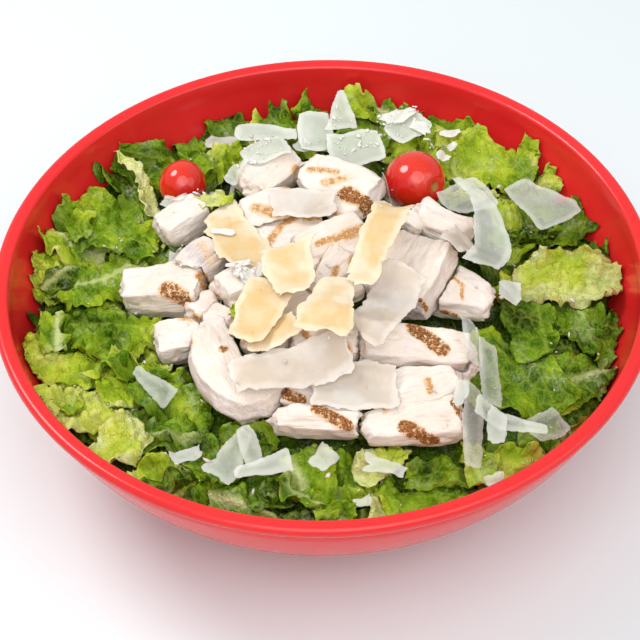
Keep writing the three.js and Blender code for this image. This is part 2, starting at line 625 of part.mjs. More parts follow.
// Every topping is cut clear of the toppings above it, and the leaves of them all.
function cutClear(pieces) {
  let above = wasm.Manifold.union([]);
  const cut = pieces.map(() => null);
  for (let i = pieces.length - 1; i >= 0; i--) {
    cut[i] = geometryFrom(largestBody(solidFrom(pieces[i]).subtract(above)).simplify(SLACK));
    above = above.add(grownSolid(pieces[i], CLEARANCE));
  }
  return { cut, above };
}

const core = coreSolid();
const bed = core.add(leavesSolid(core));
const chunks = CHICKEN.map(chunkGeometry);
const tomatoes = TOMATOES.map(tomatoGeometry);
const map = new HeightMap(Math.ceil(BOWL.rimRadius) + 10);
map.raise(geometryFrom(bed.subtract(cutClear([...chunks, ...tomatoes]).above)));
[...chunks, ...tomatoes].forEach((piece) => map.raise(piece));
const ground = { map, cover: map.cover(COVER.reach, COVER.patch), laid: new HeightMap(map.half) };
const shavings = SHAVINGS.map((shaving, i) => {
  const cells = Math.max(3, Math.round(shaving.size[0] / 8));
  return layDown(ground, shaving, cells, (u, v) => shavingPoint(shaving, i, u, v));
});
const { cut, above } = cutClear([...chunks, ...shavings, ...tomatoes]);
const heap = largestBody(bed.subtract(above)).simplify(SLACK);

addPiece("bowl", bowlGeometry(), COLOURS.bowl, 0.25);
addPiece("romaine", geometryFrom(heap), COLOURS.romaine, 0.45);
CHICKEN.forEach(({ name }) => addPiece(`chicken_${name}`, cut.shift(), COLOURS.chicken, 0.7));
SHAVINGS.forEach(({ kind }, i) => {
  const number = String(i + 1).padStart(2, "0");
  addPiece(`cheese_${number}`, cut.shift(), kind === "aged" ? COLOURS.cheeseAged : COLOURS.cheesePale, 0.5);
});
TOMATOES.forEach(({ name }) => addPiece(`tomato_${name}`, cut.shift(), COLOURS.tomato, 0.15));

export default salad;
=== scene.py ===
import math

import bpy
import numpy as np
from mathutils import Matrix, Vector
from mathutils.bvhtree import BVHTree
from mathutils.kdtree import KDTree


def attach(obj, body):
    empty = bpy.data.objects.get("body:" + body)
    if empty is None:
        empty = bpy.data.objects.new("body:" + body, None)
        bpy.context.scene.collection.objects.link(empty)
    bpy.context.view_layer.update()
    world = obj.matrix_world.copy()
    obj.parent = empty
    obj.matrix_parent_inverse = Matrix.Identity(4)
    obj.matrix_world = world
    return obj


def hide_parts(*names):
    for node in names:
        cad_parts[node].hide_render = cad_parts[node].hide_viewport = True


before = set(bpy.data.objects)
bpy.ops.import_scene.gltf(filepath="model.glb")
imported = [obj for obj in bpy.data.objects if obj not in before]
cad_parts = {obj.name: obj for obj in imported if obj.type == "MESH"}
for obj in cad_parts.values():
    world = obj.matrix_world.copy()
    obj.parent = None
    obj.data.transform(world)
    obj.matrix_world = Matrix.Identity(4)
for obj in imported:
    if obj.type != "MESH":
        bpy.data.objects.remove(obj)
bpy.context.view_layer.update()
mm = 0.001
print("frame loaded:", len(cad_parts), "solids")

# Lengths in the dictionaries are in millimetres and angles in degrees. Pieces are worked out in
# millimetres, and scaled by mm as they become meshes.


# chance and noise: the last number that these are given only picks one pattern among many

hashWaves = (12.9898, 78.233, 37.719, 4.581)  # uneven numbers, so that the sine jumps about
hashScale = 43758.5453
nearby = [(a, b) for a in (-1, 0, 1) for b in (-1, 0, 1)]  # a cell of a grid and those around it


def chance(i, k):
    wave = math.sin(i * hashWaves[0] + k * hashWaves[1]) * hashScale
    return wave - math.floor(wave)


def hashed(a, b, c, seed):
    wave = np.sin(sum(part * wave for part, wave in zip((a, b, c, seed), hashWaves))) * hashScale
    return wave - np.floor(wave)


def softNoise(x, y, z=0.0, seed=0):
    # smooth values from -1 to 1 over a unit lattice
    x, y, z = np.broadcast_arrays(np.asarray(x, float), y, z)
    cell = [np.floor(x), np.floor(y), np.floor(z)]
    share = [x - cell[0], y - cell[1], z - cell[2]]
    share = [s * s * (3 - 2 * s) for s in share]
    total = np.zeros_like(x)
    for corner in np.ndindex(2, 2, 2):
        weight = math.prod(s if far else 1 - s for s, far in zip(share, corner))
        total += weight * hashed(*(c + far for c, far in zip(cell, corner)), seed)
    return 2 * total - 1


noiseLayers = ((0.65, 1.0, 0), (0.35, 2.3, 7))  # share, how much finer, and step of the seed


def layeredNoise(x, y, z=0.0, seed=0):
    return sum(share * softNoise(x * finer, y * finer, z * finer, seed + step)
               for share, finer, step in noiseLayers)


def noiseOver(points, size, seed, noise=softNoise):
    # at each of a mesh's points
    return noise(*(points.T / size), seed)


def cellNoise(x, y, seed):
    # distance to the nearest of scattered points, and how much further the second nearest is
    column, row = np.floor(x), np.floor(y)
    first = np.full(np.shape(x), 9.0)
    second = np.full(np.shape(x), 9.0)
    for a, b in nearby:
        px = column + a + hashed(column + a, row + b, 1, seed)
        py = row + b + hashed(column + a, row + b, 2, seed)
        away = np.hypot(px - x, py - y)
        second = np.minimum(second, np.maximum(first, away))
        first = np.minimum(first, away)
    return first, second - first


def smoothStep(low, high, value):
    t = np.clip((value - low) / (high - low), 0, 1)
    return t * t * (3 - 2 * t)


def turned(heading, pitch=0, roll=0):
    turn = Matrix.Rotation(math.radians(heading), 3, "Z")
    turn = turn @ Matrix.Rotation(math.radians(-pitch), 3, "Y")
    turn = turn @ Matrix.Rotation(math.radians(roll), 3, "X")
    return np.array(turn)


# shader maths: a Link holds a socket, and arithmetic on it adds Math nodes

class Link:
    def __init__(self, paint, socket):
        self.paint = paint
        self.socket = socket

    def __add__(self, other):
        return self.paint.math("ADD", self, other)

    def __sub__(self, other):
        return self.paint.math("SUBTRACT", self, other)

    def __rsub__(self, other):
        return self.paint.math("SUBTRACT", other, self)

    def __mul__(self, other):
        return self.paint.math("MULTIPLY", self, other)

    __radd__ = __add__
    __rmul__ = __mul__


class Paint:
    def __init__(self, name):
        self.material = bpy.data.materials.new(name)
        self.material.use_nodes = True
        self.tree = self.material.node_tree
        self.tree.nodes.clear()
        self.place = self.node("ShaderNodeTexCoord", output=3)  # object coordinates

    def node(self, kind, settings=None, inputs=None, output=0):
        made = self.tree.nodes.new(kind)
        for key, value in (settings or {}).items():
            if key == "stops":
                ramp = made.color_ramp
                while len(ramp.elements) < len(value):
                    ramp.elements.new(0.5)
                for element, (place, colour) in zip(ramp.elements, value):
                    element.position = place
                    element.color = (*colour, 1)
            else:
                setattr(made, key, value)
        for key, value in (inputs or {}).items():
            if isinstance(value, Link):
                self.tree.links.new(value.socket, made.inputs[key])
            else:
                made.inputs[key].default_value = value
        return Link(self, made.outputs[output])

    def math(self, operation, a, b):
        return self.node("ShaderNodeMath", {"operation": operation}, {0: a, 1: b})

    def step(self, value, low, high):
        inputs = {"Value": value, "From Min": low, "From Max": high}
        return self.node("ShaderNodeMapRange", {"interpolation_type": "SMOOTHSTEP"}, inputs)

    def mix(self, share, *colours):
        first, second = [(*c, 1) if isinstance(c, tuple) else c for c in colours]
        return self.node("ShaderNodeMix", {"data_type": "RGBA"}, {0: share, 6: first, 7: second}, 2)

    def tinted(self, colour, tints, *layers):
        # each layer is the tint's name and how much of it shows
        for name, share in layers:
            colour = self.mix(share, colour, tints[name])
        return colour

    def stretched(self, vector, scale):
        return self.node("ShaderNodeMapping", None, {"Vector": vector, "Scale": scale})

    def translucent(self, share, shader, colour, normal):
        # a shader with a share of light that shines through from behind
        through = self.node("ShaderNodeBsdfTranslucent", None, {"Color": colour, "Normal": normal})
        return self.node("ShaderNodeMixShader", None, {"Fac": share, 1: shader, 2: through})

    def noise(self, scale, detail, rough=0.55, vector=None):
        inputs = {"Vector": vector or self.place, "Scale": scale, "Detail": detail, "Roughness": rough}
        return self.node("ShaderNodeTexNoise", None, inputs)

    def cells(self, vector, scale, feature):
        inputs = {"Vector": vector, "Scale": scale}
        return self.node("ShaderNodeTexVoronoi", {"feature": feature}, inputs)

    def mask(self, name, output=2):
        # what setMarks wrote: output 0 is its colour, 1 its vector and 2 its number
        return self.node("ShaderNodeAttribute", {"attribute_name": name}, output=output)

    def channels(self, name):
        colour = self.mask(name, 0)
        split = self.node("ShaderNodeSeparateColor", None, {"Color": colour}).socket.node
        sockets = [*split.outputs, colour.socket.node.outputs["Alpha"]]
        return [Link(self, socket) for socket in sockets]

    def bump(self, height, strength, distance, normal=None):
        inputs = {"Height": height, "Strength": strength, "Distance": distance * mm}
        if normal is not None:
            inputs["Normal"] = normal
        return self.node("ShaderNodeBump", None, inputs)

    def surface(self, colour, rough, **more):
        inputs = {key.replace("_", " "): value for key, value in more.items()}
        inputs.update({"Base Color": colour, "Roughness": rough})
        return self.node("ShaderNodeBsdfPrincipled", None, inputs)

    def finish(self, shader):
        output = self.tree.nodes.new("ShaderNodeOutputMaterial")
        self.tree.links.new(shader.socket, output.inputs["Surface"])
        return self.material


# finishes: patterns are given by how fine they are, the others by how strong

bowlColours = {"red": (0.77, 0.021, 0.022), "deep": (0.70, 0.017, 0.018)}
bowlGloss = {"rough": 0.2, "uneven": 0.08, "coat": 0.10}


def bowlFinish():
    paint = Paint("redMelamine")
    cloud = paint.noise(14, 2)
    grain = paint.noise(900, 2)
    colour = paint.mix(paint.step(cloud, 0.35, 0.7), bowlColours["red"], bowlColours["deep"])
    rough = paint.noise(60, 3) * bowlGloss["uneven"] + bowlGloss["rough"]
    normal = paint.bump(grain, 0.04, 0.2)
    return paint.finish(paint.surface(colour, rough, Normal=normal, IOR=1.45,
                                      Coat_Weight=bowlGloss["coat"], Coat_Roughness=0.06))


leafColours = [  # from the pale heart of the head to its dark outer leaves
    (0.0, (0.84, 0.84, 0.40)),
    (0.18, (0.72, 0.76, 0.12)),
    (0.38, (0.46, 0.59, 0.024)),
    (0.58, (0.205, 0.36, 0.008)),
    (0.8, (0.058, 0.155, 0.002)),
    # nearly black: painted shade, which the fill leaves and the core below reach
    (1.0, (0.010, 0.034, 0.001)),
]
leafTints = {
    "vein": (0.52, 0.66, 0.07),
    "rib": (0.82, 0.84, 0.44),
    "rust": (0.42, 0.17, 0.03),
    # whitish: partly real dressing, and partly painted sheen of light reflected off the leaves
    "dressing": (0.74, 0.77, 0.58),
    "glow": (0.36, 0.50, 0.01),
}
leafPatterns = {"blotch": 110, "fleck": 700, "smear": 85, "wrinkle": 420, "net": 0.62, "pucker": 0.34}
leafAmounts = {
    "blotch": 0.60,
    "fleck": 0.14,
    "vein": 0.50,
    "fineVein": 0.20,
    "dressingAndSheen": 0.30,
    "wet": 0.32,
    "relief": 0.9,
    "through": 0.24,  # light from behind
}


def leafFinish():
    paint, fine, much = Paint("romaineLeaf"), leafPatterns, leafAmounts
    sheet = paint.mask("sheet", 1)
    tone, vein, rib, rust = paint.channels("leaf")
    blotch = paint.noise(fine["blotch"], 4)
    fleck = paint.noise(fine["fleck"], 2)
    net = paint.cells(sheet, fine["net"], "DISTANCE_TO_EDGE")
    fineVein = 1 - paint.step(net, 0.0, 0.10)
    tone = tone + (blotch - 0.5) * much["blotch"] + (fleck - 0.5) * much["fleck"]
    colour = paint.node("ShaderNodeValToRGB", {"stops": leafColours}, {"Fac": tone})
    pale = paint.math("MAXIMUM", vein * much["vein"], fineVein * much["fineVein"])
    smear = paint.step(paint.noise(fine["smear"], 3), 0.50, 0.70)
    # whitish patches of dressing, partly real dressing and partly painted sheen standing in for light
    # reflected off the wet leaves
    dressingAndSheen = smear * paint.step(fleck, 0.4, 0.6)
    colour = paint.tinted(colour, leafTints, ("vein", pale), ("rib", rib),
                          ("dressing", dressingAndSheen * much["dressingAndSheen"]), ("rust", rust))
    wrinkle = paint.noise(fine["wrinkle"], 3)
    pucker = paint.cells(sheet, fine["pucker"], "SMOOTH_F1")
    height = wrinkle * 0.6 + paint.step(net, 0.0, 0.35) * 0.35 - pucker * 1.3
    normal = paint.bump(height, much["relief"], 0.9)
    rough = 0.36 - smear * 0.18 + (fleck - 0.5) * 0.2
    wet = smear * much["wet"] + 0.02
    shader = paint.surface(colour, rough, Normal=normal, IOR=1.4,
                           Specular_IOR_Level=0.14, Coat_Weight=wet, Coat_Roughness=0.10)
    glow = paint.mix(0.5, colour, leafTints["glow"])
    return paint.finish(paint.translucent(much["through"], shader, glow, normal))


chickenColours = {
    "meat": (0.81, 0.70, 0.61),
    "pale": (0.85, 0.775, 0.71),
    "flesh": (0.73, 0.56, 0.44),
    "grey": (0.38, 0.32, 0.36),
    "tan": (0.76, 0.46, 0.18),
    "toast": (0.50, 0.215, 0.05),
    "crust": (0.44, 0.18, 0.05),
    "burnt": (0.19, 0.06, 0.013),
}
chickenPatterns = {"fibre": 0.9, "strand": 2.2, "cloud": 75, "speck": 1500, "grit": 620}
chickenAmounts = {
    "fibre": 0.40,
    "strand": 0.30,
    "crack": 0.5,
    "grey": 0.8,
    "halo": 0.70,
    "toast": 0.8,
    "relief": 0.8,
    "crustRelief": 0.7,
}


def chickenFinish():
    paint, fine, much = Paint("grilledChicken"), chickenPatterns, chickenAmounts
    char, toast, grey, crack = paint.channels("grill")
    grain = paint.mask("grain", 1)
    fibre = paint.noise(fine["fibre"], 4, 0.6, paint.stretched(grain, (0.20, 1.0, 1.0)))
    strand = paint.noise(fine["strand"], 2, 0.5, paint.stretched(grain, (0.05, 1.0, 1.0)))
    cloud = paint.noise(fine["cloud"], 3)
    speck = paint.noise(fine["speck"], 2)
    grit = paint.noise(fine["grit"], 4, 0.75)
    colour = paint.mix(paint.step(cloud, 0.35, 0.65), chickenColours["meat"], chickenColours["pale"])
    lines = paint.step(fibre, 0.50, 0.72)
    threads = paint.step(strand, 0.56, 0.70)
    greyed = grey * paint.step(fibre, 0.30, 0.6)
    browned = paint.math("MAXIMUM", toast, char)
    halo = paint.step(browned + (grit - 0.5) * 0.8, 0.15, 0.75)
    toasted = paint.step(toast * 0.75 + (grit - 0.5) * 2.2, 0.50, 0.76)
    charred = paint.step(char * 0.85 + (grit - 0.5) * 2.6, 0.52, 0.78)
    crust = paint.mix(paint.step(speck, 0.43, 0.62), chickenColours["burnt"], chickenColours["crust"])
    colour = paint.tinted(
        colour, chickenColours, ("flesh", lines * much["fibre"]), ("flesh", threads * much["strand"]),
        ("flesh", crack * much["crack"]), ("grey", greyed * much["grey"]), ("tan", halo * much["halo"]),
        ("toast", toasted * much["toast"]))
    colour = paint.mix(charred, colour, crust)
    normal = paint.bump(fibre * 0.7 + strand * 0.3, much["relief"], 1.0)
    normal = paint.bump(grit * (browned * 0.9 + 0.14), much["crustRelief"], 0.8, normal)
    rough = 0.50 + charred * 0.25 + (speck - 0.5) * 0.2
    return paint.finish(paint.surface(colour, rough, Normal=normal, IOR=1.4,
                                      Specular_IOR_Level=0.4, Subsurface_Weight=0.12,
                                      Subsurface_Scale=1.5 * mm))


# colour at the rim, in the middle and in its darker clouds, and how much it hides
cheeseKinds = {
    "pale": ((0.92, 0.93, 0.88), (0.83, 0.86, 0.77), (0.73, 0.78, 0.67), 0.62),
    "white": ((0.95, 0.94, 0.90), (0.93, 0.92, 0.86), (0.88, 0.87, 0.80), 0.92),
    "cream": ((0.90, 0.85, 0.79), (0.84, 0.76, 0.67), (0.78, 0.67, 0.54), 0.62),
    "aged": ((0.91, 0.82, 0.65), (0.86, 0.69, 0.42), (0.82, 0.59, 0.28), 0.84),
}
cheesePatterns = {"drift": 38, "cloud": 130, "grain": 900}
cheeseAmounts = {"rim": 0.6, "fade": 0.8, "cloud": 0.25, "relief": 0.25, "through": 0.14}


def cheeseFinish(kind):
    rimColour, heart, deep, hiding = cheeseKinds[kind]
    paint, fine, much = Paint(kind + "Cheese"), cheesePatterns, cheeseAmounts
    inward = paint.mask("inward")
    clear = paint.mask("clear")
    drift = paint.noise(fine["drift"], 2)
    cloud = paint.noise(fine["cloud"], 3)
    grain = paint.noise(fine["grain"], 3)
    colour = paint.mix(paint.step(cloud, 0.34, 0.62), heart, deep)
    rim = 1 - paint.step(inward + (cloud - 0.5) * 0.3, 0.0, 0.30)
    fade = paint.step(drift + (cloud - 0.5) * 0.3 - inward * 0.10, 0.44, 0.58)
    white = paint.math("MAXIMUM", rim * much["rim"], fade * much["fade"])
    colour = paint.mix(white, colour, rimColour)
    alpha = paint.math("MINIMUM", (cloud - 0.5) * much["cloud"] + rim * 0.12 + hiding - clear, 1.0)
    normal = paint.bump(grain + cloud * 0.6, much["relief"], 0.4)
    rough = 0.40 + (grain - 0.5) * 0.2
    shader = paint.surface(colour, rough, Normal=normal, IOR=1.42,
                           Specular_IOR_Level=0.4, Alpha=alpha)
    return paint.finish(paint.translucent(alpha * much["through"], shader, colour, normal))


dressingColours = {"oily": (0.80, 0.78, 0.62), "milky": (0.88, 0.86, 0.74)}


def dressingFinish():
    paint = Paint("dressing")
    cloud = paint.noise(400, 2)
    colour = paint.mix(cloud, dressingColours["oily"], dressingColours["milky"])
    return paint.finish(paint.surface(colour, 0.3, IOR=1.4, Alpha=0.75))


tomatoColours = {
    "deep": (0.60, 0.008, 0.006),
    "red": (0.70, 0.030, 0.008),
    "speck": (0.85, 0.25, 0.08),
    "scar": (0.34, 0.26, 0.05),
}


def tomatoFinish():
    paint = Paint("tomatoSkin")
    scar = paint.mask("scar")
    cloud = paint.noise(70, 3)
    speck = paint.noise(1500, 2)
    colour = paint.mix(paint.step(cloud, 0.3, 0.7), tomatoColours["deep"], tomatoColours["red"])
    specks = paint.step(speck, 0.66, 0.74) * 0.35
    colour = paint.tinted(colour, tomatoColours, ("speck", specks), ("scar", scar))
    normal = paint.bump(speck, 0.08, 0.2)
    rough = 0.14 + scar * 0.5 + (cloud - 0.5) * 0.1
    return paint.finish(paint.surface(colour, rough, Normal=normal, IOR=1.45,
                                      Coat_Weight=0.5, Coat_Roughness=0.05))


# both tinted cyan, to offset the red light that the bowl bounces onto the floor
floorColours = {"shade": (0.725, 0.785, 0.80), "light": (0.74, 0.80, 0.815)}


def floorFinish():
    paint = Paint("paleTable")
    colour = paint.mix(paint.noise(6, 2), floorColours["shade"], floorColours["light"])
    return paint.finish(paint.surface(colour, 0.6))


# meshes

def deselectAll():
    bpy.ops.object.select_all(action="DESELECT")


def setActive(piece):
    deselectAll()
    piece.select_set(True)
    bpy.context.view_layer.objects.active = piece


def placed(name, data):
    made = bpy.data.objects.new(name, data)
    bpy.context.scene.collection.objects.link(made)
    return made


def applyModifier(piece, kind, **settings):
    setActive(piece)
    modifier = piece.modifiers.new(kind.title(), kind)
    for key, value in settings.items():
        setattr(modifier, key, value)
    bpy.ops.object.modifier_apply(modifier=modifier.name)


def meshFrom(name, points, faces):
    mesh = bpy.data.meshes.new(name)
    mesh.vertices.add(len(points))
    mesh.vertices.foreach_set("co", (np.asarray(points) * mm).astype(np.float32).ravel())
    sides = faces.shape[1]
    mesh.loops.add(faces.size)
    mesh.loops.foreach_set("vertex_index", faces.astype(np.int32).ravel())
    mesh.polygons.add(len(faces))
    mesh.polygons.foreach_set("loop_start", np.arange(0, faces.size, sides, dtype=np.int32))
    mesh.update(calc_edges=True)
    mesh.validate()
    mesh.shade_smooth()
    return placed(name, mesh)


def setMarks(piece, **marks):
    # what the materials read: one number, a vector or a colour with its alpha for each point
    for name, values in marks.items():
        values = np.ascontiguousarray(values, np.float32)
        if values.ndim == 1:
            attribute, field = piece.data.attributes.new(name, "FLOAT", "POINT"), "value"
        elif values.shape[1] == 3:
            attribute, field = piece.data.attributes.new(name, "FLOAT_VECTOR", "POINT"), "vector"
        else:
            attribute, field = piece.data.color_attributes.new(name, "FLOAT_COLOR", "POINT"), "color"
        attribute.data.foreach_set(field, values.ravel())


def pointsOf(piece, field="co"):
    values = np.empty(len(piece.data.vertices) * 3, np.float32)
    piece.data.vertices.foreach_get(field, values)
    values = values.reshape(-1, 3).astype(float)
    return values / mm if field == "co" else values


def movePoints(piece, points):
    piece.data.vertices.foreach_set("co", (points * mm).astype(np.float32).ravel())
    piece.data.update()
    piece.data.shade_smooth()


def solidCopy(node, name, voxel):
    # the CAD solid's own mesh, with its loose triangles joined up and then meshed evenly
    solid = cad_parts[node]
    mesh = solid.data.copy()
    mesh.name = name
    mesh.transform(solid.matrix_world)
    mesh.materials.clear()
    piece = placed(name, mesh)
    setActive(piece)
    bpy.ops.object.mode_set(mode="EDIT")
    bpy.ops.mesh.select_all(action="SELECT")
    bpy.ops.mesh.remove_doubles(threshold=0.01 * mm)
    bpy.ops.object.mode_set(mode="OBJECT")
    applyModifier(piece, "REMESH", mode="VOXEL", voxel_size=voxel * mm)
    return piece


def treeOf(*names):
    corners, faces = [], []
    for name in names:
        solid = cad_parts[name]
        mesh = solid.data
        start = len(corners)
        corners.extend(solid.matrix_world @ v.co / mm for v in mesh.vertices)
        faces.extend(tuple(start + k for k in p.vertices) for p in mesh.polygons)
    return BVHTree.FromPolygons(corners, faces)


def dress(piece, material, slot, *nodes):
    piece.data.materials.clear()
    piece.data.materials.append(material)
    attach(piece, "root")
    if nodes:
        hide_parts(*nodes)


# heights: a map with one value a millimetre

class HeightMap:
    half = 140
    far = 1e3  # where nothing was met

    def __init__(self, values=None):
        size = 2 * self.half + 1
        self.values = np.full((size, size), -self.far) if values is None else values

    def at(self, x, y):
        x = np.clip(x + self.half, 0, 2 * self.half - 1.001)
        y = np.clip(y + self.half, 0, 2 * self.half - 1.001)
        column, row = np.floor(x).astype(int), np.floor(y).astype(int)
        p, q = x - column, y - row
        near = self.values[row, column] * (1 - p) + self.values[row, column + 1] * p
        far = self.values[row + 1, column] * (1 - p) + self.values[row + 1, column + 1] * p
        return near * (1 - q) + far * q

    def meet(self, points, keep):
        # keep is np.maximum where the points raise the map, and np.minimum where they lower it
        column, row = np.rint(points[:, :2].T + self.half).astype(int)
        for a, b in nearby:
            keep.at(self.values, (row + b, column + a), points[:, 2])

    def copy(self):
        return HeightMap(self.values.copy())

    @classmethod
    def cast(cls, tree, upwards=False):
        # height of the first thing met from above, or from below
        reach = 126
        found = cls()
        if upwards:
            found.values = -found.values
        start, way = (0.0, Vector((0, 0, 1))) if upwards else (200.0, Vector((0, 0, -1)))
        for y in range(-reach, reach + 1):
            for x in range(-reach, reach + 1):
                hit = tree.ray_cast(Vector((x + 0.01, y + 0.01, start)), way)[0]
                if hit:
                    found.values[y + cls.half, x + cls.half] = hit.z
        return found

    def softened(self):
        # widened by a millimetre and blurred, so that what lies on it bends gently
        wide = self.values
        for axis in (0, 1):
            wide = np.maximum(np.maximum(np.roll(wide, 1, axis), np.roll(wide, -1, axis)), wide)
        soft = wide
        for axis in (0, 1, 0, 1):
            soft = (np.roll(soft, 1, axis) + soft + np.roll(soft, -1, axis)) / 3
        return HeightMap(soft)

    def coned(self, slope, steps):
        # for a ceiling: lets it rise by slope for each millimetre away from what makes it
        values = self.values.copy()
        for _ in range(steps):
            straight = values.copy()
            for axis in (0, 1):
                for shift in (-1, 1):
                    straight = np.minimum(straight, np.roll(values, shift, axis) + slope)
            values = straight
        return HeightMap(values)


# bowl

bowl = {
    "rimRadius": 130,
    "height": 76,
    "wall": 3,
    "arcRadius": 89.79,  # of the outer wall in profile
    "arcCentre": (40.28, 91.72),  # radius and height of the arc's centre
    "outerSlopes": (18, 75, 20),  # the wall's slope at the foot and under the lip, and steps between
    "innerSlopes": (74, 10, 22),
    "footRadius": 62,
    "underside": 2.6,
    # foot ring, out from footRadius and up
    "ring": ((-6.4, 2.6), (-5.6, 1.6), (-4.9, 0.3), (-4.4, 0), (-1.6, 0), (-1.0, 0.4), (1.2, 3.4)),
    # lip, out from the rim and up from its top: where it turns out, and its arcs' centre, radius,
    # angles and steps
    "lipUnder": ((-3.1, -7.2), (-2.7, -7.1), (-2.2, -6.5)),
    "lipOuter": ((-2.3, -2.3), 2.3, -32, 86, 10),
    "lipTop": (-3.6, -0.1),
    "lipInner": ((-4.3, -2.2), 2.0, 78, 160, 5),
    "floor": ((46, 6.45), (0, 6.4)),
    "turns": 168,
    "leastDrop": 15.7,  # from the arc's centre, which keeps the inner radius steady above the lip
}


def wallPoints(slopes, inset):
    start, end, steps = slopes
    radius = bowl["arcRadius"] - inset
    angles = [math.radians(start + (end - start) * k / steps) for k in range(steps + 1)]
    across, up = bowl["arcCentre"]
    return [(across + radius * math.sin(a), up - radius * math.cos(a)) for a in angles]


def innerRadius(z):
    reach = bowl["arcRadius"] - bowl["wall"]
    drop = np.clip(bowl["arcCentre"][1] - z, bowl["leastDrop"], reach - 0.01)
    return bowl["arcCentre"][0] + np.sqrt(reach * reach - drop * drop)


def lipPoints(centre, radius, start, end, steps):
    angles = [math.radians(start + (end - start) * k / steps) for k in range(steps + 1)]
    return [(centre[0] + radius * math.cos(a), centre[1] + radius * math.sin(a)) for a in angles]


def makeBowl():
    def moved(points, across, up):
        return [(across + x, up + z) for x, z in points]

    edge = (bowl["rimRadius"], bowl["height"])
    profile = [(0, bowl["underside"])] + moved(bowl["ring"], bowl["footRadius"], 0)
    profile += wallPoints(bowl["outerSlopes"], 0)
    profile += moved(bowl["lipUnder"], *edge)
    profile += moved(lipPoints(*bowl["lipOuter"]), *edge)
    profile += moved([bowl["lipTop"]], *edge)
    profile += moved(lipPoints(*bowl["lipInner"]), *edge)
    profile += wallPoints(bowl["innerSlopes"], bowl["wall"])
    profile += bowl["floor"]
    mesh = bpy.data.meshes.new("bowlShell")
    edges = [(k, k + 1) for k in range(len(profile) - 1)]
    mesh.from_pydata([(r * mm, 0, z * mm) for r, z in profile], edges, [])
    piece = placed("bowlShell", mesh)
    setActive(piece)
    bpy.ops.object.mode_set(mode="EDIT")
    bpy.ops.mesh.select_all(action="SELECT")
    bpy.ops.mesh.spin(steps=bowl["turns"], angle=2 * math.pi, center=(0, 0, 0), axis=(0, 0, 1))
    bpy.ops.mesh.select_all(action="SELECT")
    bpy.ops.mesh.remove_doubles(threshold=0.02 * mm)
    bpy.ops.mesh.normals_make_consistent(inside=False)
    bpy.ops.object.mode_set(mode="OBJECT")
    bpy.ops.object.shade_smooth_by_angle(angle=math.radians(40))
    dress(piece, bowlFinish(), "bowl", "bowl")


# romaine

# base and tip are widths as shares of the widest, fold the slope of the sides, ruffle and frill heights
leafForms = {
    "blade": {"base": 0.75, "tip": 0.6, "fold": 12, "ruffle": 3.2, "waves": 1.6, "frill": 0.9},
    "tip": {"base": 0.8, "tip": 0.06, "fold": 14, "ruffle": 2.8, "waves": 1.5, "frill": 0.8},
    "curl": {"base": 0.6, "tip": 0.5, "fold": 20, "ruffle": 4.0, "waves": 2.0, "frill": 1.5},
    "stalk": {"base": 0.8, "tip": 0.45, "fold": 16, "ruffle": 0.6, "waves": 1.0, "frill": 0.15},
}
leafDetail = {
    "spacing": 0.82,  # between points
    "thickness": 0.45,
    "thinRim": 0.45,  # share of it that the rim lacks
    "widest": 0.42,  # how far along its length a leaf is widest
    "waver": (0.09, 2.3),  # share by which its width wavers, and how often
    "tear": (4.2, 0.12, 1.3),  # length, depth at the sides as a share of the width, and at the ends
    "teeth": (1.5, 0.2),  # length and depth
    "arcs": (26, -30),  # how far a leaf bends along its length
    "fullWidth": 20,  # a narrower one is less ruffled
    "frillLength": 7.5,
    "crumples": ((2.6, 13, 11), (1.2, 5.5, 5.5)),  # depth, and size along and across
    "slant": 0.16,
    "blister": 2.0,  # how far the leaf bulges between its veins
    "cell": 4.8,  # size of a bulge
    "warp": (1.2, 6),  # how far the net of veins strays, and over what length
    "veinGap": 8.0,
    "veinWidth": 0.6,
    "veinSlope": 0.95,
    "ribWidth": (1.0, 2.2),  # half of it where there is no rib to see, and what a full one adds
    "toneDrift": (0.22, 9),
    "paleEdge": 0.12,
    "wallGap": 1.3,
    "gapAbove": 0.7,
    "rise": (1.6, 6),  # slope at which a leaf may rise beside what presses it down, and how far out
    "bareHeight": 58.0,  # where there is no heap to lie on
}
# each kind counts from its own number, which picks its chances
leafNumbers = {"small": 100, "fill": 400, "scraps": 800, "perched": 900}


def leafRows(*rows):
    # form, place, length and width, heading with pitch and roll, tone from 0 for the pale heart to 1
    # for the darkest green, and then what sets the leaf apart from its form
    names = ("form", "at", "size", "turn", "tone")
    return [{**dict(zip(names, row)), **dict(row[len(names):])} for row in rows]


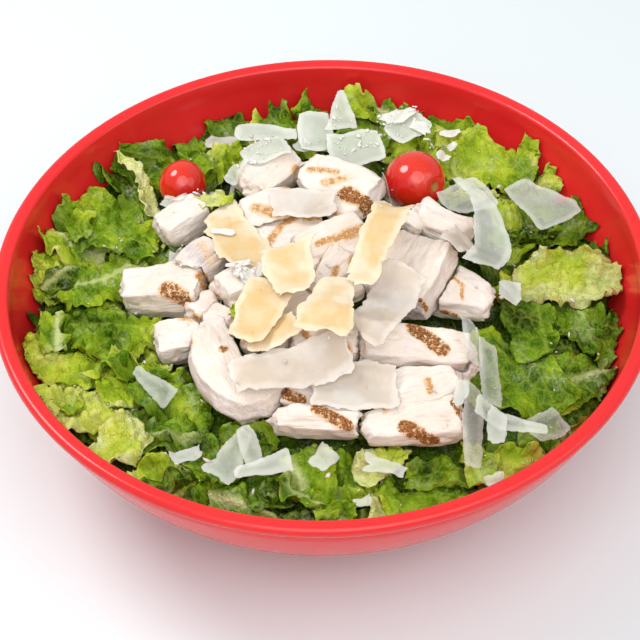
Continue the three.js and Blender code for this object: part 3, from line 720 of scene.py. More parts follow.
# The leaf pieces that the solid has too, in its order. Those with top lie over the smaller pieces.
mainLeaves = leafRows(
    ("blade", (-85, 35), (36, 28), (165, 2, 12), 0.68, ("top", 1)),
    ("blade", (-88, 7), (42, 32), (205, 0, 14), 0.60, ("rib", 0.4)),
    ("curl", (-84, -15), (42, 34), (170, -2, -14), 0.64, ("puff", 1.6)),
    ("tip", (-100, -27), (50, 32), (186, 9, -22), 0.38),
    ("curl", (-102, 29), (28, 22), (150, 16, 10), 0.44, ("rib", 0.6)),
    ("tip", (-102, 46), (26, 20), (115, 34, 8), 0.58),
    ("blade", (-68, 80), (44, 22), (165, 2, -34), 0.74),
    ("stalk", (-76, 64), (43, 7), (118, 20, 20), 0.02, ("pale", 0.2), ("top", 1)),
    ("tip", (-42, 79), (36, 20), (20, 4, 30), 0.42),
    ("curl", (-24, 99), (20, 15), (95, 48, 0), 0.10, ("top", 1)),
    ("tip", (-8, 99), (28, 20), (75, 40, 0), 0.54),
    ("tip", (14, 107), (38, 36), (95, 40, 0), 0.56),
    ("curl", (31, 97), (30, 26), (60, 28, 8), 0.44),
    ("blade", (68, 76), (50, 26), (-32, 0, 16), 0.42, ("top", 1)),
    ("curl", (87, 76), (20, 12), (70, 44, 0), 0.22),
    ("curl", (76, 33), (30, 20), (95, 12, 26), 0.36, ("top", 1)),
    ("blade", (102, 42), (32, 22), (25, 8, 14), 0.80),
    ("curl", (98, 7), (44, 30), (-8, 2, 12), 0.20, ("blush", 0.6), ("rust", 0.35), ("top", 1)),
    # The next three, and two of the small leaves by them, are toned darker partly as painted shade among
    # the leaves.
    ("blade", (80, -17), (36, 20), (95, 8, -8), 0.80, ("top", 1)),
    ("tip", (74, -46), (48, 36), (-22, -6, 10), 0.70, ("puff", 0.5), ("top", 1)),
    ("tip", (101, -44), (42, 24), (14, 8, 18), 0.76, ("rib", 0.3), ("top", 1)),
    ("blade", (92, -75), (28, 14), (48, 12, 24), 0.88, ("rust", 0.7)),
    ("curl", (72, -89), (32, 24), (-32, -4, 14), 0.32, ("top", 1)),
    ("curl", (36, -97), (36, 24), (15, 0, 24), 0.76, ("ruffle", 4.5), ("waves", 2.8), ("top", 1)),
    ("curl", (41, -109), (30, 18), (8, 2, 22), 0.26, ("blush", 0.5)),
    ("stalk", (21, -101), (28, 12), (252, -10, 0), 0.10, ("pale", 0.4), ("top", 1)),
    ("blade", (-8, -98), (26, 19), (250, -10, 0), 0.84, ("ruffle", 4)),
    ("stalk", (-27, -107), (42, 12), (-22, -2, 20), 0.62, ("arc", -50), ("rib", 0.5)),
    ("blade", (-44, -101), (30, 22), (235, -8, 0), 0.76, ("ruffle", 4)),
    ("curl", (-63, -92), (26, 22), (222, -4, 0), 0.34),
    ("tip", (-80, -75), (30, 20), (228, -4, 0), 0.18),
    ("curl", (-95, -55), (40, 26), (212, 0, -8), 0.26),
    ("tip", (-78, -41), (30, 22), (110, 14, 0), 0.38, ("top", 1)),
    ("blade", (-66, -62), (44, 28), (188, 0, -14), 0.70),
    ("tip", (-72, 36), (28, 18), (212, -2, 14), 0.36, ("top", 1)),
)

# smaller pieces that lie between those, or over them with top
smallLeaves = leafRows(
    ("blade", (-31, -79), (28, 20), (250, 4, 14), 0.72, ("top", 1)),
    ("curl", (19, -86), (22, 14), (30, 12, 10), 0.20, ("top", 1)),
    ("tip", (-5, -91), (26, 18), (300, 2, 12), 0.52, ("rib", 0.5), ("top", 1)),
    ("blade", (45, -88), (36, 13), (6, 6, 28), 0.78, ("top", 1)),
    ("curl", (-13, -82), (20, 12), (170, 8, -16), 0.74, ("top", 1)),
    ("tip", (3, -107), (24, 13), (275, -6, 20), 0.60, ("rib", 0.4), ("top", 1)),
    ("curl", (-19, -98), (24, 14), (215, 4, 24), 0.80, ("top", 1)),
    ("curl", (-110, 16), (26, 20), (110, 18, 6), 0.46, ("puff", 1.6)),
    ("curl", (-103, 26), (26, 20), (100, 24, -10), 0.26, ("rib", 0.6)),
    ("blade", (-90, 50), (34, 22), (140, 10, 10), 0.58),
    ("blade", (-78, 62), (26, 16), (100, 20, -20), 0.80),
    ("tip", (-54, 80), (40, 20), (190, 4, -20), 0.68),
    ("blade", (-64, 22), (28, 20), (250, 0, 10), 0.74),
    ("blade", (-37, 104), (28, 18), (150, 14, 0), 0.84),
    ("curl", (28, 104), (28, 20), (20, 20, 10), 0.46),
    ("blade", (52, 97), (30, 20), (-20, 12, 10), 0.62),
    ("curl", (68, 56), (34, 16), (170, 10, 20), 0.24),
    ("curl", (95, 65), (22, 14), (60, 34, 10), 0.24),
    ("blade", (78, 3), (24, 18), (200, 0, 16), 0.45, ("rust", 0.9)),
    # these two are toned darker partly as painted shade among the leaves
    ("curl", (100, -12), (34, 24), (-60, 6, 12), 0.72),
    ("blade", (88, -32), (30, 24), (-50, 0, 10), 0.86, ("puff", 1.5)),
    ("curl", (86, -68), (30, 24), (-10, 4, 14), 0.84),
    ("blade", (98, -58), (28, 20), (30, 6, 20), 0.94),
    ("tip", (66, -97), (28, 16), (-30, 4, 10), 0.30),
    ("curl", (8, -92), (26, 18), (160, 8, 10), 0.50),
    ("blade", (4, -101), (26, 20), (280, -6, 0), 0.84),
    ("blade", (-20, -86), (30, 20), (200, 4, 10), 0.76),
    ("blade", (16, -108), (30, 16), (10, 4, 24), 0.78),
    ("curl", (-46, -84), (30, 20), (205, 6, 0), 0.36),
    ("blade", (-58, -54), (30, 22), (170, 6, 10), 0.76),
    ("curl", (-74, -60), (30, 24), (215, 6, -10), 0.34, ("rib", 0.5)),
    ("curl", (-91, -44), (32, 24), (150, 6, 10), 0.14),
    ("tip", (-69, -33), (30, 22), (60, 12, 0), 0.40),
)

# dark leaves that fill the gaps from below, toned nearly black as painted shade in the gaps
fillLeaves = {
    "number": 170,
    "sizes": ((26, 20), (44, 32)),  # smallest and largest, length by width
    "reach": (50, 121),
    # near the darkest stop: painted shade
    "tones": (0.82, 1.0),
    "sink": 0.45,  # share that lies below what is there
    "drop": 5.5,  # how far they lie below the solid's heap
    "spacing": 2.1,
}
# torn scraps that lie on top
scraps = {
    "number": 52,
    "sizes": ((12, 8), (30, 18)),
    "reach": (58, 114),
    "tones": (0.34, 1.0),
    "lift": 2.2,
    # broad leaves that none lies on, with half their width
    "bare": ((78, -45, 27), (98, 7, 22), (70, 74, 24), (-88, 7, 18), (-84, -17, 20), (-84, 36, 16),
             (104, -42, 18), (21, -101, 13), (40, -108, 12), (-76, 63, 22)),
}
# how both of these are thrown about
thrownLeaves = {
    "forms": ("blade", "curl", "tip", "curl"),
    "goldenAngle": 2.39996,  # radians from each to the next
    "pitch": (-8, 32),
    "roll": 35,
    "ribFrom": 0.7,  # share of them without a rib to see
    "pile": ((-3, -16), (56, 48)),  # middle and half-widths of what the chicken hides
}


def leafOutline(form, i, v):
    widest, (waver, often) = leafDetail["widest"], leafDetail["waver"]
    before = np.minimum(1, v / widest)
    past = np.maximum(0, v - widest) / (1 - widest)
    rise = form["base"] + (1 - form["base"]) * np.sin(np.pi / 2 * before)
    fall = form["tip"] + (1 - form["tip"]) * np.cos(np.pi / 2 * past)
    return rise * fall * (1 + waver * np.sin(2 * np.pi * (often * v + chance(i, 1))))


def leafSheet(leaf, i, spacing):
    # middle surface of a leaf piece about its own middle, with its length and width in millimetres
    form, detail = {**leafForms[leaf["form"]], **leaf}, leafDetail
    length, width = form["size"]
    v = np.linspace(0, 1, max(7, round(length / spacing)) + 1)[:, None]
    u = np.linspace(-1, 1, max(5, round(width / spacing)) + 1)[None, :]
    flatHalf = width / 2 * leafOutline(form, i, v)
    tearLength, tearShare, tearDepth = detail["tear"]
    toothLength, toothDepth = detail["teeth"]
    otherSide = 50 * np.sign(u)  # so that the two sides tear differently
    torn = layeredNoise(v * length / tearLength + otherSide, i, 0, 3)
    teeth = softNoise(v * length / toothLength + otherSide, i, 0, 4)
    half = flatHalf * (1 + tearShare * torn * np.abs(u) ** 3) + toothDepth * teeth * np.abs(u) ** 6
    arc = math.radians(form.get("arc", detail["arcs"][0 if chance(i, 4) > 0.45 else 1]))
    bend = (v - 0.5) * arc
    radius = length / arc
    turns = form["waves"] * v + chance(i, 2) + np.where(u > 0, 0.37, 0)
    small = min(1, width / detail["fullWidth"])
    ruffle = form["ruffle"] * small * u * u * np.sin(2 * np.pi * turns)
    fold = np.abs(u) * half * math.tan(math.radians(form["fold"]))
    frillTurns = v * length / detail["frillLength"] + chance(i, 11) + np.where(u > 0, 0.5, 0)
    frillTurns = frillTurns + 0.6 * softNoise(v * 4, i, 0, 5)
    frill = form["frill"] * small * np.abs(u) ** 3 * np.sin(2 * np.pi * frillTurns)
    crumple = sum(depth * softNoise(v * length / long, u * half / wide, i, 9 + k)
                  for k, (depth, long, wide) in enumerate(detail["crumples"]))
    slant = detail["slant"] * half * u * (chance(i, 3) - 0.5) * 2
    lift = ruffle + fold + frill + crumple
    ends = (2 * v - 1) ** 7 * (tearDepth * layeredNoise(u * flatHalf / tearLength, i, 0, 13) - 0.3)
    x = radius * np.sin(bend) - lift * np.sin(bend) + slant + ends
    z = radius * (1 - np.cos(bend)) + lift * np.cos(bend)
    sheet = np.stack(np.broadcast_arrays(x, u * half, z), -1)
    return form, sheet, v * length + 0 * u, u * flatHalf, u + 0 * v, v + 0 * u


def leafMarks(form, i, along, across, u, v):
    # how far each point bulges, and its tone, vein, rib and rust
    detail = leafDetail

    def noise(size, seed):
        return softNoise(along / size, across / size, i, seed)

    ribAt = (chance(i, 12) - 0.5) * 0.7 * form["size"][1]
    side = np.abs(across - ribAt)
    slant = along - detail["veinSlope"] * side + 3 * noise(14, 21)
    phase = slant / detail["veinGap"] + chance(i, 13)
    fromVein = np.abs(phase - np.floor(phase) - 0.5) * detail["veinGap"]
    sideVein = np.exp(-(fromVein / detail["veinWidth"]) ** 2)
    stray, over = detail["warp"]
    warp = stray * noise(over, 23)
    cell = detail["cell"]
    _, gap = cellNoise((along + warp) / cell, (across + warp) / cell + 7 * i, 31)
    bulge = smoothStep(0, 0.6, gap)
    net = 1 - smoothStep(0, 0.22, gap)
    rib = form.get("rib", 0.0)
    least, more = detail["ribWidth"]
    ribWidth = (least + more * rib) * (1.15 - 0.8 * v)
    ribShape = np.exp(-(side / ribWidth) ** 2)
    vein = np.maximum(np.maximum(0.8 * sideVein, 0.75 * net), 0.9 * ribShape)
    height = form.get("puff", 1.0) * detail["blister"] * (bulge - 0.5) * (1 - ribShape)
    height = height - 0.4 * sideVein + 0.5 * ribShape * (0.3 + rib)
    edge = np.maximum(np.abs(u), np.abs(2 * v - 1)) ** 6
    drift, over = detail["toneDrift"]
    pale = detail["paleEdge"]
    tone = form["tone"] + drift * noise(over, 25) - pale * edge
    tone = tone - pale * (1 - v) * (form["form"] != "stalk") + 0.06
    blush = smoothStep(-0.2, 0.5, noise(12, 27) + v - 0.4)
    rust = smoothStep(0.1, 0.9, edge + 0.5 * noise(5, 29))
    paleRib = ribShape * rib * 1.3 + form.get("blush", 0.0) * blush * 0.8 + form.get("pale", 0.0)
    paleRib = np.clip(paleRib, 0, 0.95)
    return height, np.stack([np.clip(tone, 0, 1), vein, paleRib, form.get("rust", 0.0) * rust], -1)


def closedSheet(middle, thickness, bulge=0.0):
    # both faces of a thin sheet over a grid of points, joined by a rim
    along, across = np.gradient(middle, axis=0), np.gradient(middle, axis=1)
    normal = np.cross(along, across)
    normal /= np.maximum(np.linalg.norm(normal, axis=-1, keepdims=True), 1e-9)
    middle = middle + normal * np.asarray(bulge)[..., None]
    half = np.asarray(thickness)[..., None] / 2
    rows, columns = middle.shape[:2]
    points = np.concatenate([(middle + side * normal * half).reshape(-1, 3) for side in (1, -1)])
    number = np.arange(rows * columns).reshape(rows, columns)
    below = number + rows * columns
    corners = [number[:-1, :-1], number[1:, :-1], number[1:, 1:], number[:-1, 1:]]
    top = np.stack(corners, -1).reshape(-1, 4)
    under = top[:, ::-1] + rows * columns
    loop, lower = (np.concatenate([face[0, :-1], face[:-1, -1], face[-1, :0:-1], face[:0:-1, 0]])
                   for face in (number, below))
    rim = np.stack([loop, np.roll(loop, -1), np.roll(lower, -1), lower], -1)
    return points, np.concatenate([top, under, rim])


class Batch:
    def __init__(self, name):
        self.name = name
        self.parts, self.count = [], 0

    def add(self, points, faces, *marks):
        self.parts.append((points, faces + self.count, *marks))
        self.count += len(points)

    def make(self, *markNames):
        points, faces, *marks = [np.concatenate(column) for column in zip(*self.parts)]
        piece = meshFrom(self.name, points, faces)
        setMarks(piece, **dict(zip(markNames, marks)))
        return piece


def keepInside(sheet, gap):
    away = np.hypot(sheet[..., 0], sheet[..., 1])
    limit = innerRadius(sheet[..., 2]) - gap
    sheet[..., :2] *= np.where(away > limit, limit / np.maximum(away, 1), 1)[..., None]


def placeLeaf(batch, leaf, i, spacing, lid, lift):
    # a leaf keeps its own shape except where something above presses it down
    form, sheet, along, across, u, v = leafSheet(leaf, i, spacing)
    sheet = sheet @ turned(*form["turn"]).T
    sheet[..., :2] += form["at"]
    sheet[..., 2] += lift(sheet)
    for _ in range(2):
        keepInside(sheet, leafDetail["wallGap"])
        limit = lid.at(sheet[..., 0], sheet[..., 1]) - leafDetail["gapAbove"]
        sheet[..., 2] = np.minimum(sheet[..., 2], limit)
    height, marks = leafMarks(form, i, along, across, u, v)
    thickness = leafDetail["thickness"] * (1 - leafDetail["thinRim"] * np.abs(u) ** 4)
    points, faces = closedSheet(sheet, thickness, height)
    over = points[:, 2] - (lid.at(points[:, 0], points[:, 1]) - 0.3)
    over[len(points) // 2:] += leafDetail["thickness"] * 0.6  # the underside stays below the upper side
    points[:, 2] -= np.maximum(over, 0)
    keepInside(points, 0.8)
    place = np.stack([along + 100 * chance(i, 41), across, 0 * along + i], -1)
    marks, place = (np.concatenate([m.reshape(-1, m.shape[-1])] * 2) for m in (marks, place))
    batch.add(points, faces, marks, place)
    return points


def thrown(kind, seed):
    near, far = kind["reach"]
    (small, large), (pale, dark) = kind["sizes"], kind["tones"]
    (low, high), roll = thrownLeaves["pitch"], thrownLeaves["roll"]
    (middleX, middleY), (reachX, reachY) = thrownLeaves["pile"]
    for n in range(kind["number"]):
        out, angle = near + (far - near) * math.sqrt(chance(n, seed)), n * thrownLeaves["goldenAngle"]
        x, y = out * math.cos(angle), out * math.sin(angle)
        if ((x - middleX) / reachX) ** 2 + ((y - middleY) / reachY) ** 2 < 1:
            continue
        if any(math.hypot(x - a, y - b) < half for a, b, half in kind.get("bare", ())):
            continue
        share, *chances = [chance(n, seed + k) for k in range(1, 8)]
        yield n, {
            "form": thrownLeaves["forms"][int(4 * chances[0])],
            "at": (x, y),
            "size": tuple(a + (b - a) * share for a, b in zip(small, large)),
            "turn": (360 * chances[1], low + (high - low) * chances[2], 2 * roll * (chances[3] - 0.5)),
            "tone": pale + (dark - pale) * chances[4],
            "rib": max(0.0, chances[5] - thrownLeaves["ribFrom"]) * 2,
        }


def makeLeaves(heap, toppings):
    # from the top of the heap down, each leaf pressed below the ones before it
    under = toppings.copy()
    top = HeightMap()
    small, below, torn = (leafNumbers[kind] for kind in ("small", "fill", "scraps"))

    def level(sink, drop):
        def lift(sheet):
            found = heap.at(sheet[..., 0], sheet[..., 1]) - drop - sheet[..., 2]
            sure = found[found > 0]
            return np.quantile(sure, 1 - sink) if len(sure) else leafDetail["bareHeight"]
        return lift

    def listed(leaves, start, onTop, lift):
        return [(start + n, leaf, lift) for n, leaf in enumerate(leaves) if ("top" in leaf) == onTop]

    order = [(torn + n, leaf, level(0.5, -scraps["lift"])) for n, leaf in thrown(scraps, 131)]
    order += listed(smallLeaves, small, True, level(0.5, -1.5))
    order += listed(mainLeaves, 0, True, level(0.5, 0))
    order += listed(mainLeaves, 0, False, level(0.5, 0))
    order += listed(smallLeaves, small, False, level(0.4, 0.5))
    fill = fillLeaves
    order += [(below + n, leaf, level(fill["sink"], fill["drop"])) for n, leaf in thrown(fill, 31)]
    batches = {form: Batch("leaves" + form.title()) for form in leafForms}
    batches["below"] = Batch("leavesBelow")
    batches["scraps"] = Batch("leafScraps")
    for i, leaf, lift in order:
        batch = batches["scraps" if i >= torn else "below" if i >= below else leaf["form"]]
        spacing = fill["spacing"] if below <= i < torn else leafDetail["spacing"]
        points = placeLeaf(batch, leaf, i, spacing, under.coned(*leafDetail["rise"]), lift)
        top.meet(points, np.maximum)
        under.meet(points, np.minimum)
    finish = leafFinish()
    for batch in batches.values():
        piece = batch.make("leaf", "sheet")
        dress(piece, finish, "romaine", "romaine")
        print(piece.name, len(piece.data.polygons), "faces")
    return finish, top


# torn bits that lie on the meat and the cheese
perchedLeaves = leafRows(
    ("curl", (-44, 37), (17, 8), (-8, 4, 10), 0.18),
    ("tip", (-35, -22), (8, 4), (70, 10, 0), 0.34),
)


def makePerched(finish, top):
    batch = Batch("leavesPerched")
    free = HeightMap(np.full_like(top.values, 200.0))

    def lift(sheet):
        return np.quantile(top.at(sheet[..., 0], sheet[..., 1]) - sheet[..., 2], 0.75)

    for i, leaf in enumerate(perchedLeaves):
        placeLeaf(batch, leaf, leafNumbers["perched"] + i, 0.6, free, lift)
    dress(batch.make("leaf", "sheet"), finish, "romaine")


# the dense heap below the leaves: the CAD solid, sunk and crumpled, and toned nearly black as painted
# shade under the leaves
leafCore = {
    "voxel": 2.2,
    "cell": 9,
    "creases": (1.6, 0.8),  # between cells, and all over
    "sink": 5,
    "lowest": 45,
    "tone": (0.95, 0.1),
}


def makeLeafCore(finish, heap):
    core = leafCore
    piece = solidCopy("romaine", "leafCore", core["voxel"])
    points = pointsOf(piece)
    x, y, z = points.T
    _, gap = cellNoise(x / core["cell"] + z / 13, y / core["cell"], 41)
    between, allOver = core["creases"]
    crease = between * smoothStep(0, 0.5, gap) + allOver * noiseOver(points, 4, 43)
    lowest = HeightMap(np.maximum(heap.values, core["lowest"]))
    for _ in range(3):
        lowest = HeightMap(-HeightMap(-lowest.values).softened().values)
    points[:, 2] = np.minimum(z, lowest.at(x, y) - core["sink"] + crease)
    keepInside(points, leafDetail["wallGap"])
    movePoints(piece, points)
    # painted shade: the core's tone is nearly black, as it lies in the shade under the leaves
    tone, drift = core["tone"]
    tone = tone + drift * noiseOver(points, 12, 45)
    marks = np.stack([tone, 0.2 * (1 - smoothStep(0, 0.2, gap)), 0 * x, 0 * x], -1)
    setMarks(piece, leaf=marks, sheet=points)
    dress(piece, finish, "romaine", "romaine")
    print(piece.name, len(piece.data.polygons), "faces")


# chicken

chickenDetail = {
    "voxel": 0.8,
    "fibre": (0.34, 8, 1.7),  # depth, and size along and across the grain
    "pits": (0.6, 2.4),  # depth as a share of the fibres', and size
    "dent": (1.0, 9),  # depth and size
    "crack": (0.6, 26, 5.5),  # depth, and size along and across the grain
    "tear": (1.5, 1.6),  # depth and size of what frays the two ends
    "endsFrom": 0.66,  # share of the half length at which the ends begin
    "shrink": 0.3,
}

# turn of each chunk's grain, as the solid's chunks are turned
chickenTurns = {
    "left_back": (34, 8, -6), "left_low": (8, 6, 12), "back_slab": (52, -4, 10),
    "front_slice": (-3, 0, 16), "front_right": (9, 0, 14), "front_fan": (20, 6, 14),
    "right_low": (-16, -6, 12), "right_edge": (-14, -14, 9), "right_tender": (-28, -8, 0),
    "nugget_a": (40, 0, 14),
    "nugget_b": (-20, 14, 0), "left_inner": (56, -10, 14), "left_block": (-4, 8, 6),
    "back_left": (14, 8, 8), "back_heart": (12, 0, 0), "heart": (30, 0, 0), "middle": (30, 0, 0),
    "front_low": (-12, -8, 18), "front_inner": (-6, 0, 16), "crescent": (-58, -8, 0),
    "right_inner": (62, 6, -8), "back_top": (-38, -6, 16), "front_top": (-7, -3, 18),
    "crown": (22, 6, 14), "crown_slice": (48, 8, 24),
}

# grill bars, browned rims and grey patches: the two ends on the meat, half the width and the strength
grillMarks = {
    "char": [
        ((33, -41, 83), (43, -50, 81), 3.2, 1.0), ((-4, -72, 74), (7, -79, 72), 2.6, 1.0),
        ((28, -80, 72), (38, -82, 66), 3.0, 1.0), ((47, -70, 74), (49, -74, 73), 2.0, 1.0),
        ((-61, -11, 76), (-55, -14, 74), 4.0, 0.85), ((-39, -46, 79), (-38, -45, 79), 1.7, 0.85),
        ((-15, -63, 72), (-10, -65, 71), 2.4, 1.0), ((36, -27, 83), (39, -26, 77), 1.3, 0.9),
        ((45, -22, 71), (50, -23, 70), 1.4, 0.9), ((10, 35, 82), (18, 31, 78), 3.8, 1.0),
        ((-31, -42, 78), (-28, -45, 77), 1.8, 0.9),
    ],
    "toast": [
        ((-27, 29, 81), (-19, 26, 81), 2.6, 0.9), ((-5, 49, 83), (6, 46, 84), 1.8, 0.9),
        ((1, 41, 83), (9, 42, 84), 2.0, 0.8), ((8, 48, 83), (12, 42, 83), 1.4, 0.8),
        ((-48, -6, 79), (-46, -6, 73), 2.4, 1.0), ((-48, 9, 80), (-43, 0, 78), 3.2, 0.5),
        ((-56, -22, 73), (-49, -23, 72), 1.7, 1.0), ((-53, -26, 73), (-51, -42, 79), 0.9, 1.0),
        ((43, -8, 80), (46, -14, 79), 1.3, 1.0), ((46, -14, 79), (50, -12, 79), 0.9, 1.0),
        ((50, -12, 79), (53, -15, 78), 1.1, 1.0), ((53, -15, 78), (53, -20, 76), 0.9, 1.0),
        ((-15, 37, 83), (-10, 59, 76), 2.1, 1.0), ((-21, 11, 80), (-17, 21, 79), 1.9, 1.0),
        ((-15, 23, 79), (-9, 26, 80), 1.9, 1.0), ((-7, 24, 79), (5, 28, 78), 1.4, 1.0),
        ((-2, 4, 85), (9, 8, 85), 1.8, 1.0), ((9, 8, 85), (16, 11, 86), 2.8, 1.0),
        ((-7, 5, 84), (-7, -1, 80), 2.4, 1.0), ((5, -10, 85), (3, -15, 83), 1.4, 1.0),
        ((17, 2, 83), (11, -7, 85), 2.2, 0.9), ((21, -64, 73), (21, -73, 73), 1.3, 1.0),
        ((37, -61, 76), (38, -65, 74), 1.5, 1.0), ((-9, -40, 84), (-7, -45, 84), 1.5, 1.0),
        ((2, -49, 83), (4, -52, 82), 1.7, 1.0), ((8, -49, 83), (8, -52, 78), 1.7, 1.0),
    ],
    "grey": [
        ((21, -20, 81), (29, -26, 78), 8.0, 1.0), ((-50, 4, 80), (-42, -2, 77), 5.0, 0.6),
    ],
}


grillFades = {"char": (1.3, 0.7), "toast": (1.7, 0.3), "grey": (1.3, 0.7)}  # shares of the half width


def grillOf(points):
    # one column for each kind, and one that is left for the cracks
    marks = np.zeros((len(points), 4))
    for column, (kind, bars) in enumerate(grillMarks.items()):
        for start, end, reach, amount in bars:
            start, line = np.array(start, float), np.subtract(end, start)
            share = np.clip((points - start) @ line / (line @ line), 0, 1)
            away = np.linalg.norm(points - start - share[:, None] * line, axis=1)
            near = amount * smoothStep(*grillFades[kind], away / reach)
            marks[:, column] = np.maximum(marks[:, column], near)
    return marks


def makeChicken():
    finish = chickenFinish()
    detail = chickenDetail
    fibreDepth, long, wide = detail["fibre"]
    pitShare, pitSize = detail["pits"]
    dentDepth, dentSize = detail["dent"]
    crackDepth, crackLong, crackWide = detail["crack"]
    tearDepth, tearSize = detail["tear"]
    total = 0
    for name, turn in chickenTurns.items():
        node = "chicken_" + name
        piece = solidCopy(node, "meat_" + name, detail["voxel"])
        applyModifier(piece, "SMOOTH", factor=0.5, iterations=1)
        points, normals = pointsOf(piece), pointsOf(piece, "normal")
        marks = grillOf(points)
        low, high = points.min(0), points.max(0)
        axes = turned(*turn)
        grain = (points - (low + high) / 2) @ axes
        along, across, up = grain.T
        seed = 50 + len(name) + 3 * turn[0] % 17
        fibre = layeredNoise(along / long, across / wide, up / wide, seed)
        fibre = fibre + pitShare * noiseOver(points, pitSize, seed, layeredNoise)
        dent = noiseOver(points, dentSize, seed + 1, layeredNoise)
        ridge = np.abs(softNoise(along / crackLong, across / crackWide, up / crackWide, seed + 4))
        crack = smoothStep(0.07, 0.01, ridge) * smoothStep(-0.2, 0.3, noiseOver(points, 12, seed + 5))
        shift = fibreDepth * fibre + dentDepth * dent - crackDepth * crack - detail["shrink"]
        ends = smoothStep(detail["endsFrom"], 1, np.abs(along) / np.abs(along).max())
        frayed = tearDepth * ends * layeredNoise(across / tearSize, up / tearSize, seed, seed + 2)
        outwards = np.sign(along) * (frayed - 0.5 * ends)
        movePoints(piece, points + normals * shift[:, None] + axes[:, 0] * outwards[:, None])
        marks[:, 3] = crack
        setMarks(piece, grill=marks, grain=grain + 40 * chance(seed, 1))
        dress(piece, finish, "chicken", node)
        total += len(piece.data.polygons)
    print("chicken:", total, "faces")
    return finish


# small shreds of meat that fill the pile between the chunks: place, length by width by height, heading
shreds = [
    ((-30, 13, 75), (13, 8, 7), 30), ((-24, 6, 76), (10, 8, 7), 100), ((-25, 19, 73), (12, 8, 7), -20),
    ((-32, -15, 72), (12, 7, 7), 60), ((-28, -34, 69), (9, 7, 5), 20), ((-40, -8, 72), (10, 7, 7), -30),
    ((-37, 28, 71), (12, 7, 6), 10), ((-9, 5, 77), (11, 8, 7), 40), ((11, -33, 75), (12, 8, 7), -10),
    ((10, -41, 73), (11, 7, 6), 70), ((10, -16, 77), (11, 7, 7), 25), ((36, 25, 74), (11, 8, 7), -40),
    ((29, 11, 76), (12, 8, 8), 80), ((56, -17, 70), (10, 7, 6), 15), ((-46, -17, 70), (10, 7, 6), 50),
    ((20, -57, 72), (10, 7, 6), 10), ((44, -58, 71), (9, 6, 6), -20), ((-22, -52, 70), (10, 7, 6), 35),
]
# depths as shares of the size, and sizes along and across
shredDetail = {"fibre": (0.07, 8, 1.3), "dent": (0.16, 4), "pitch": 12, "roll": 15, "browned": 0.8}


def ballShape(subdivisions):
    # points and faces of a ball of 1 mm radius
    deselectAll()
    bpy.ops.mesh.primitive_ico_sphere_add(subdivisions=subdivisions, radius=mm)
    ball = bpy.context.object
    points, faces = pointsOf(ball), np.array([tuple(face.vertices) for face in ball.data.polygons])
    bpy.data.objects.remove(ball)
    return points, faces


def makeShreds(finish):
    shape, faces = ballShape(4)
    batch = Batch("meatShreds")
    detail = shredDetail
    (fibreDepth, long, wide), (dentDepth, dentSize) = detail["fibre"], detail["dent"]
    for i, (place, size, heading) in enumerate(shreds):
        square = np.abs(shape) ** 4
        points = shape / (square.sum(1) ** 0.25)[:, None] * size / 2
        grain = points + 40 * i
        x, y, z = points.T
        fibre = layeredNoise(x / long, y / wide, z / wide, 141 + i)
        dent = noiseOver(points, dentSize, 171 + i, layeredNoise)
        browned = smoothStep(0.2, 0.6, noiseOver(points, 3, 144 + i))
        points = points * (1 + dentDepth * dent + fibreDepth * fibre)[:, None]
        pitch = 2 * detail["pitch"] * (chance(i, 142) - 0.5)
        roll = 2 * detail["roll"] * (chance(i, 143) - 0.5)
        points = points @ turned(heading, pitch, roll).T
        marks = np.zeros((len(points), 4))
        marks[:, 1] = detail["browned"] * browned
        batch.add(points + place, faces, marks, grain)
    piece = batch.make("grill", "grain")
    dress(piece, finish, "chicken")
    print("shreds:", len(piece.data.polygons), "faces")


# cheese

shavingKinds = {
    "aged": ("23", "26", "28", "29", "30", "31"),
    "cream": ("14", "22", "24", "25", "27"),
}
agedSolids = ("14", "23", "26", "28", "29", "30", "31")
cheeseDetail = {
    "voxel": 0.6,
    "rounding": 6,
    "corners": 0.35,  # how far the corners are rounded off
    "rim": 4,  # width that is torn and rippled
    "tear": (0.9, 2.0),  # depth and size
    "ripple": (0.14, 5),  # share of the width, and size
    "wave": (0.4, 5),  # height and size
    "heart": 9.0,  # how far in the colour is that of the middle
    "grow": 0.8,
    "slimness": (0.16, 0.55, 3.5),  # share of the thickness left at the rim and within, and how far in
}
# the clearer shavings, by how much less they hide
clearShavings = {
    "01": 0.46, "02": 0.34, "03": 0.38, "04": 0.30, "05": 0.14, "06": 0.14, "07": 0.12, "08": 0.12,
    "09": 0.12, "10": 0.16, "11": 0.38, "12": 0.38, "15": 0.30, "16": 0.44, "17": 0.44, "18": 0.47,
    "19": 0.52, "20": 0.38, "21": 0.14, "27": 0.20,
}


def heightInSheet(piece, points, normals, axes):
    # how far each point lies above the middle of the sheet, which is flat across axes[2]
    across, reach = axes[2], 6
    faces = [tuple(face.vertices) for face in piece.data.polygons]
    tree = BVHTree.FromPolygons([Vector(p) for p in points], faces)
    sideways = normals - np.outer(normals @ across, across)
    height = np.zeros(len(points))
    for k, start in enumerate(points - 0.5 * sideways):
        high = tree.ray_cast(Vector(start + reach * across), Vector(-across), 2 * reach)[0]
        low = tree.ray_cast(Vector(start - reach * across), Vector(across), 2 * reach)[0]
        if high and low:
            height[k] = (points[k] - (np.array(high) + np.array(low)) / 2) @ across
    return np.clip(height, -0.8, 0.8)


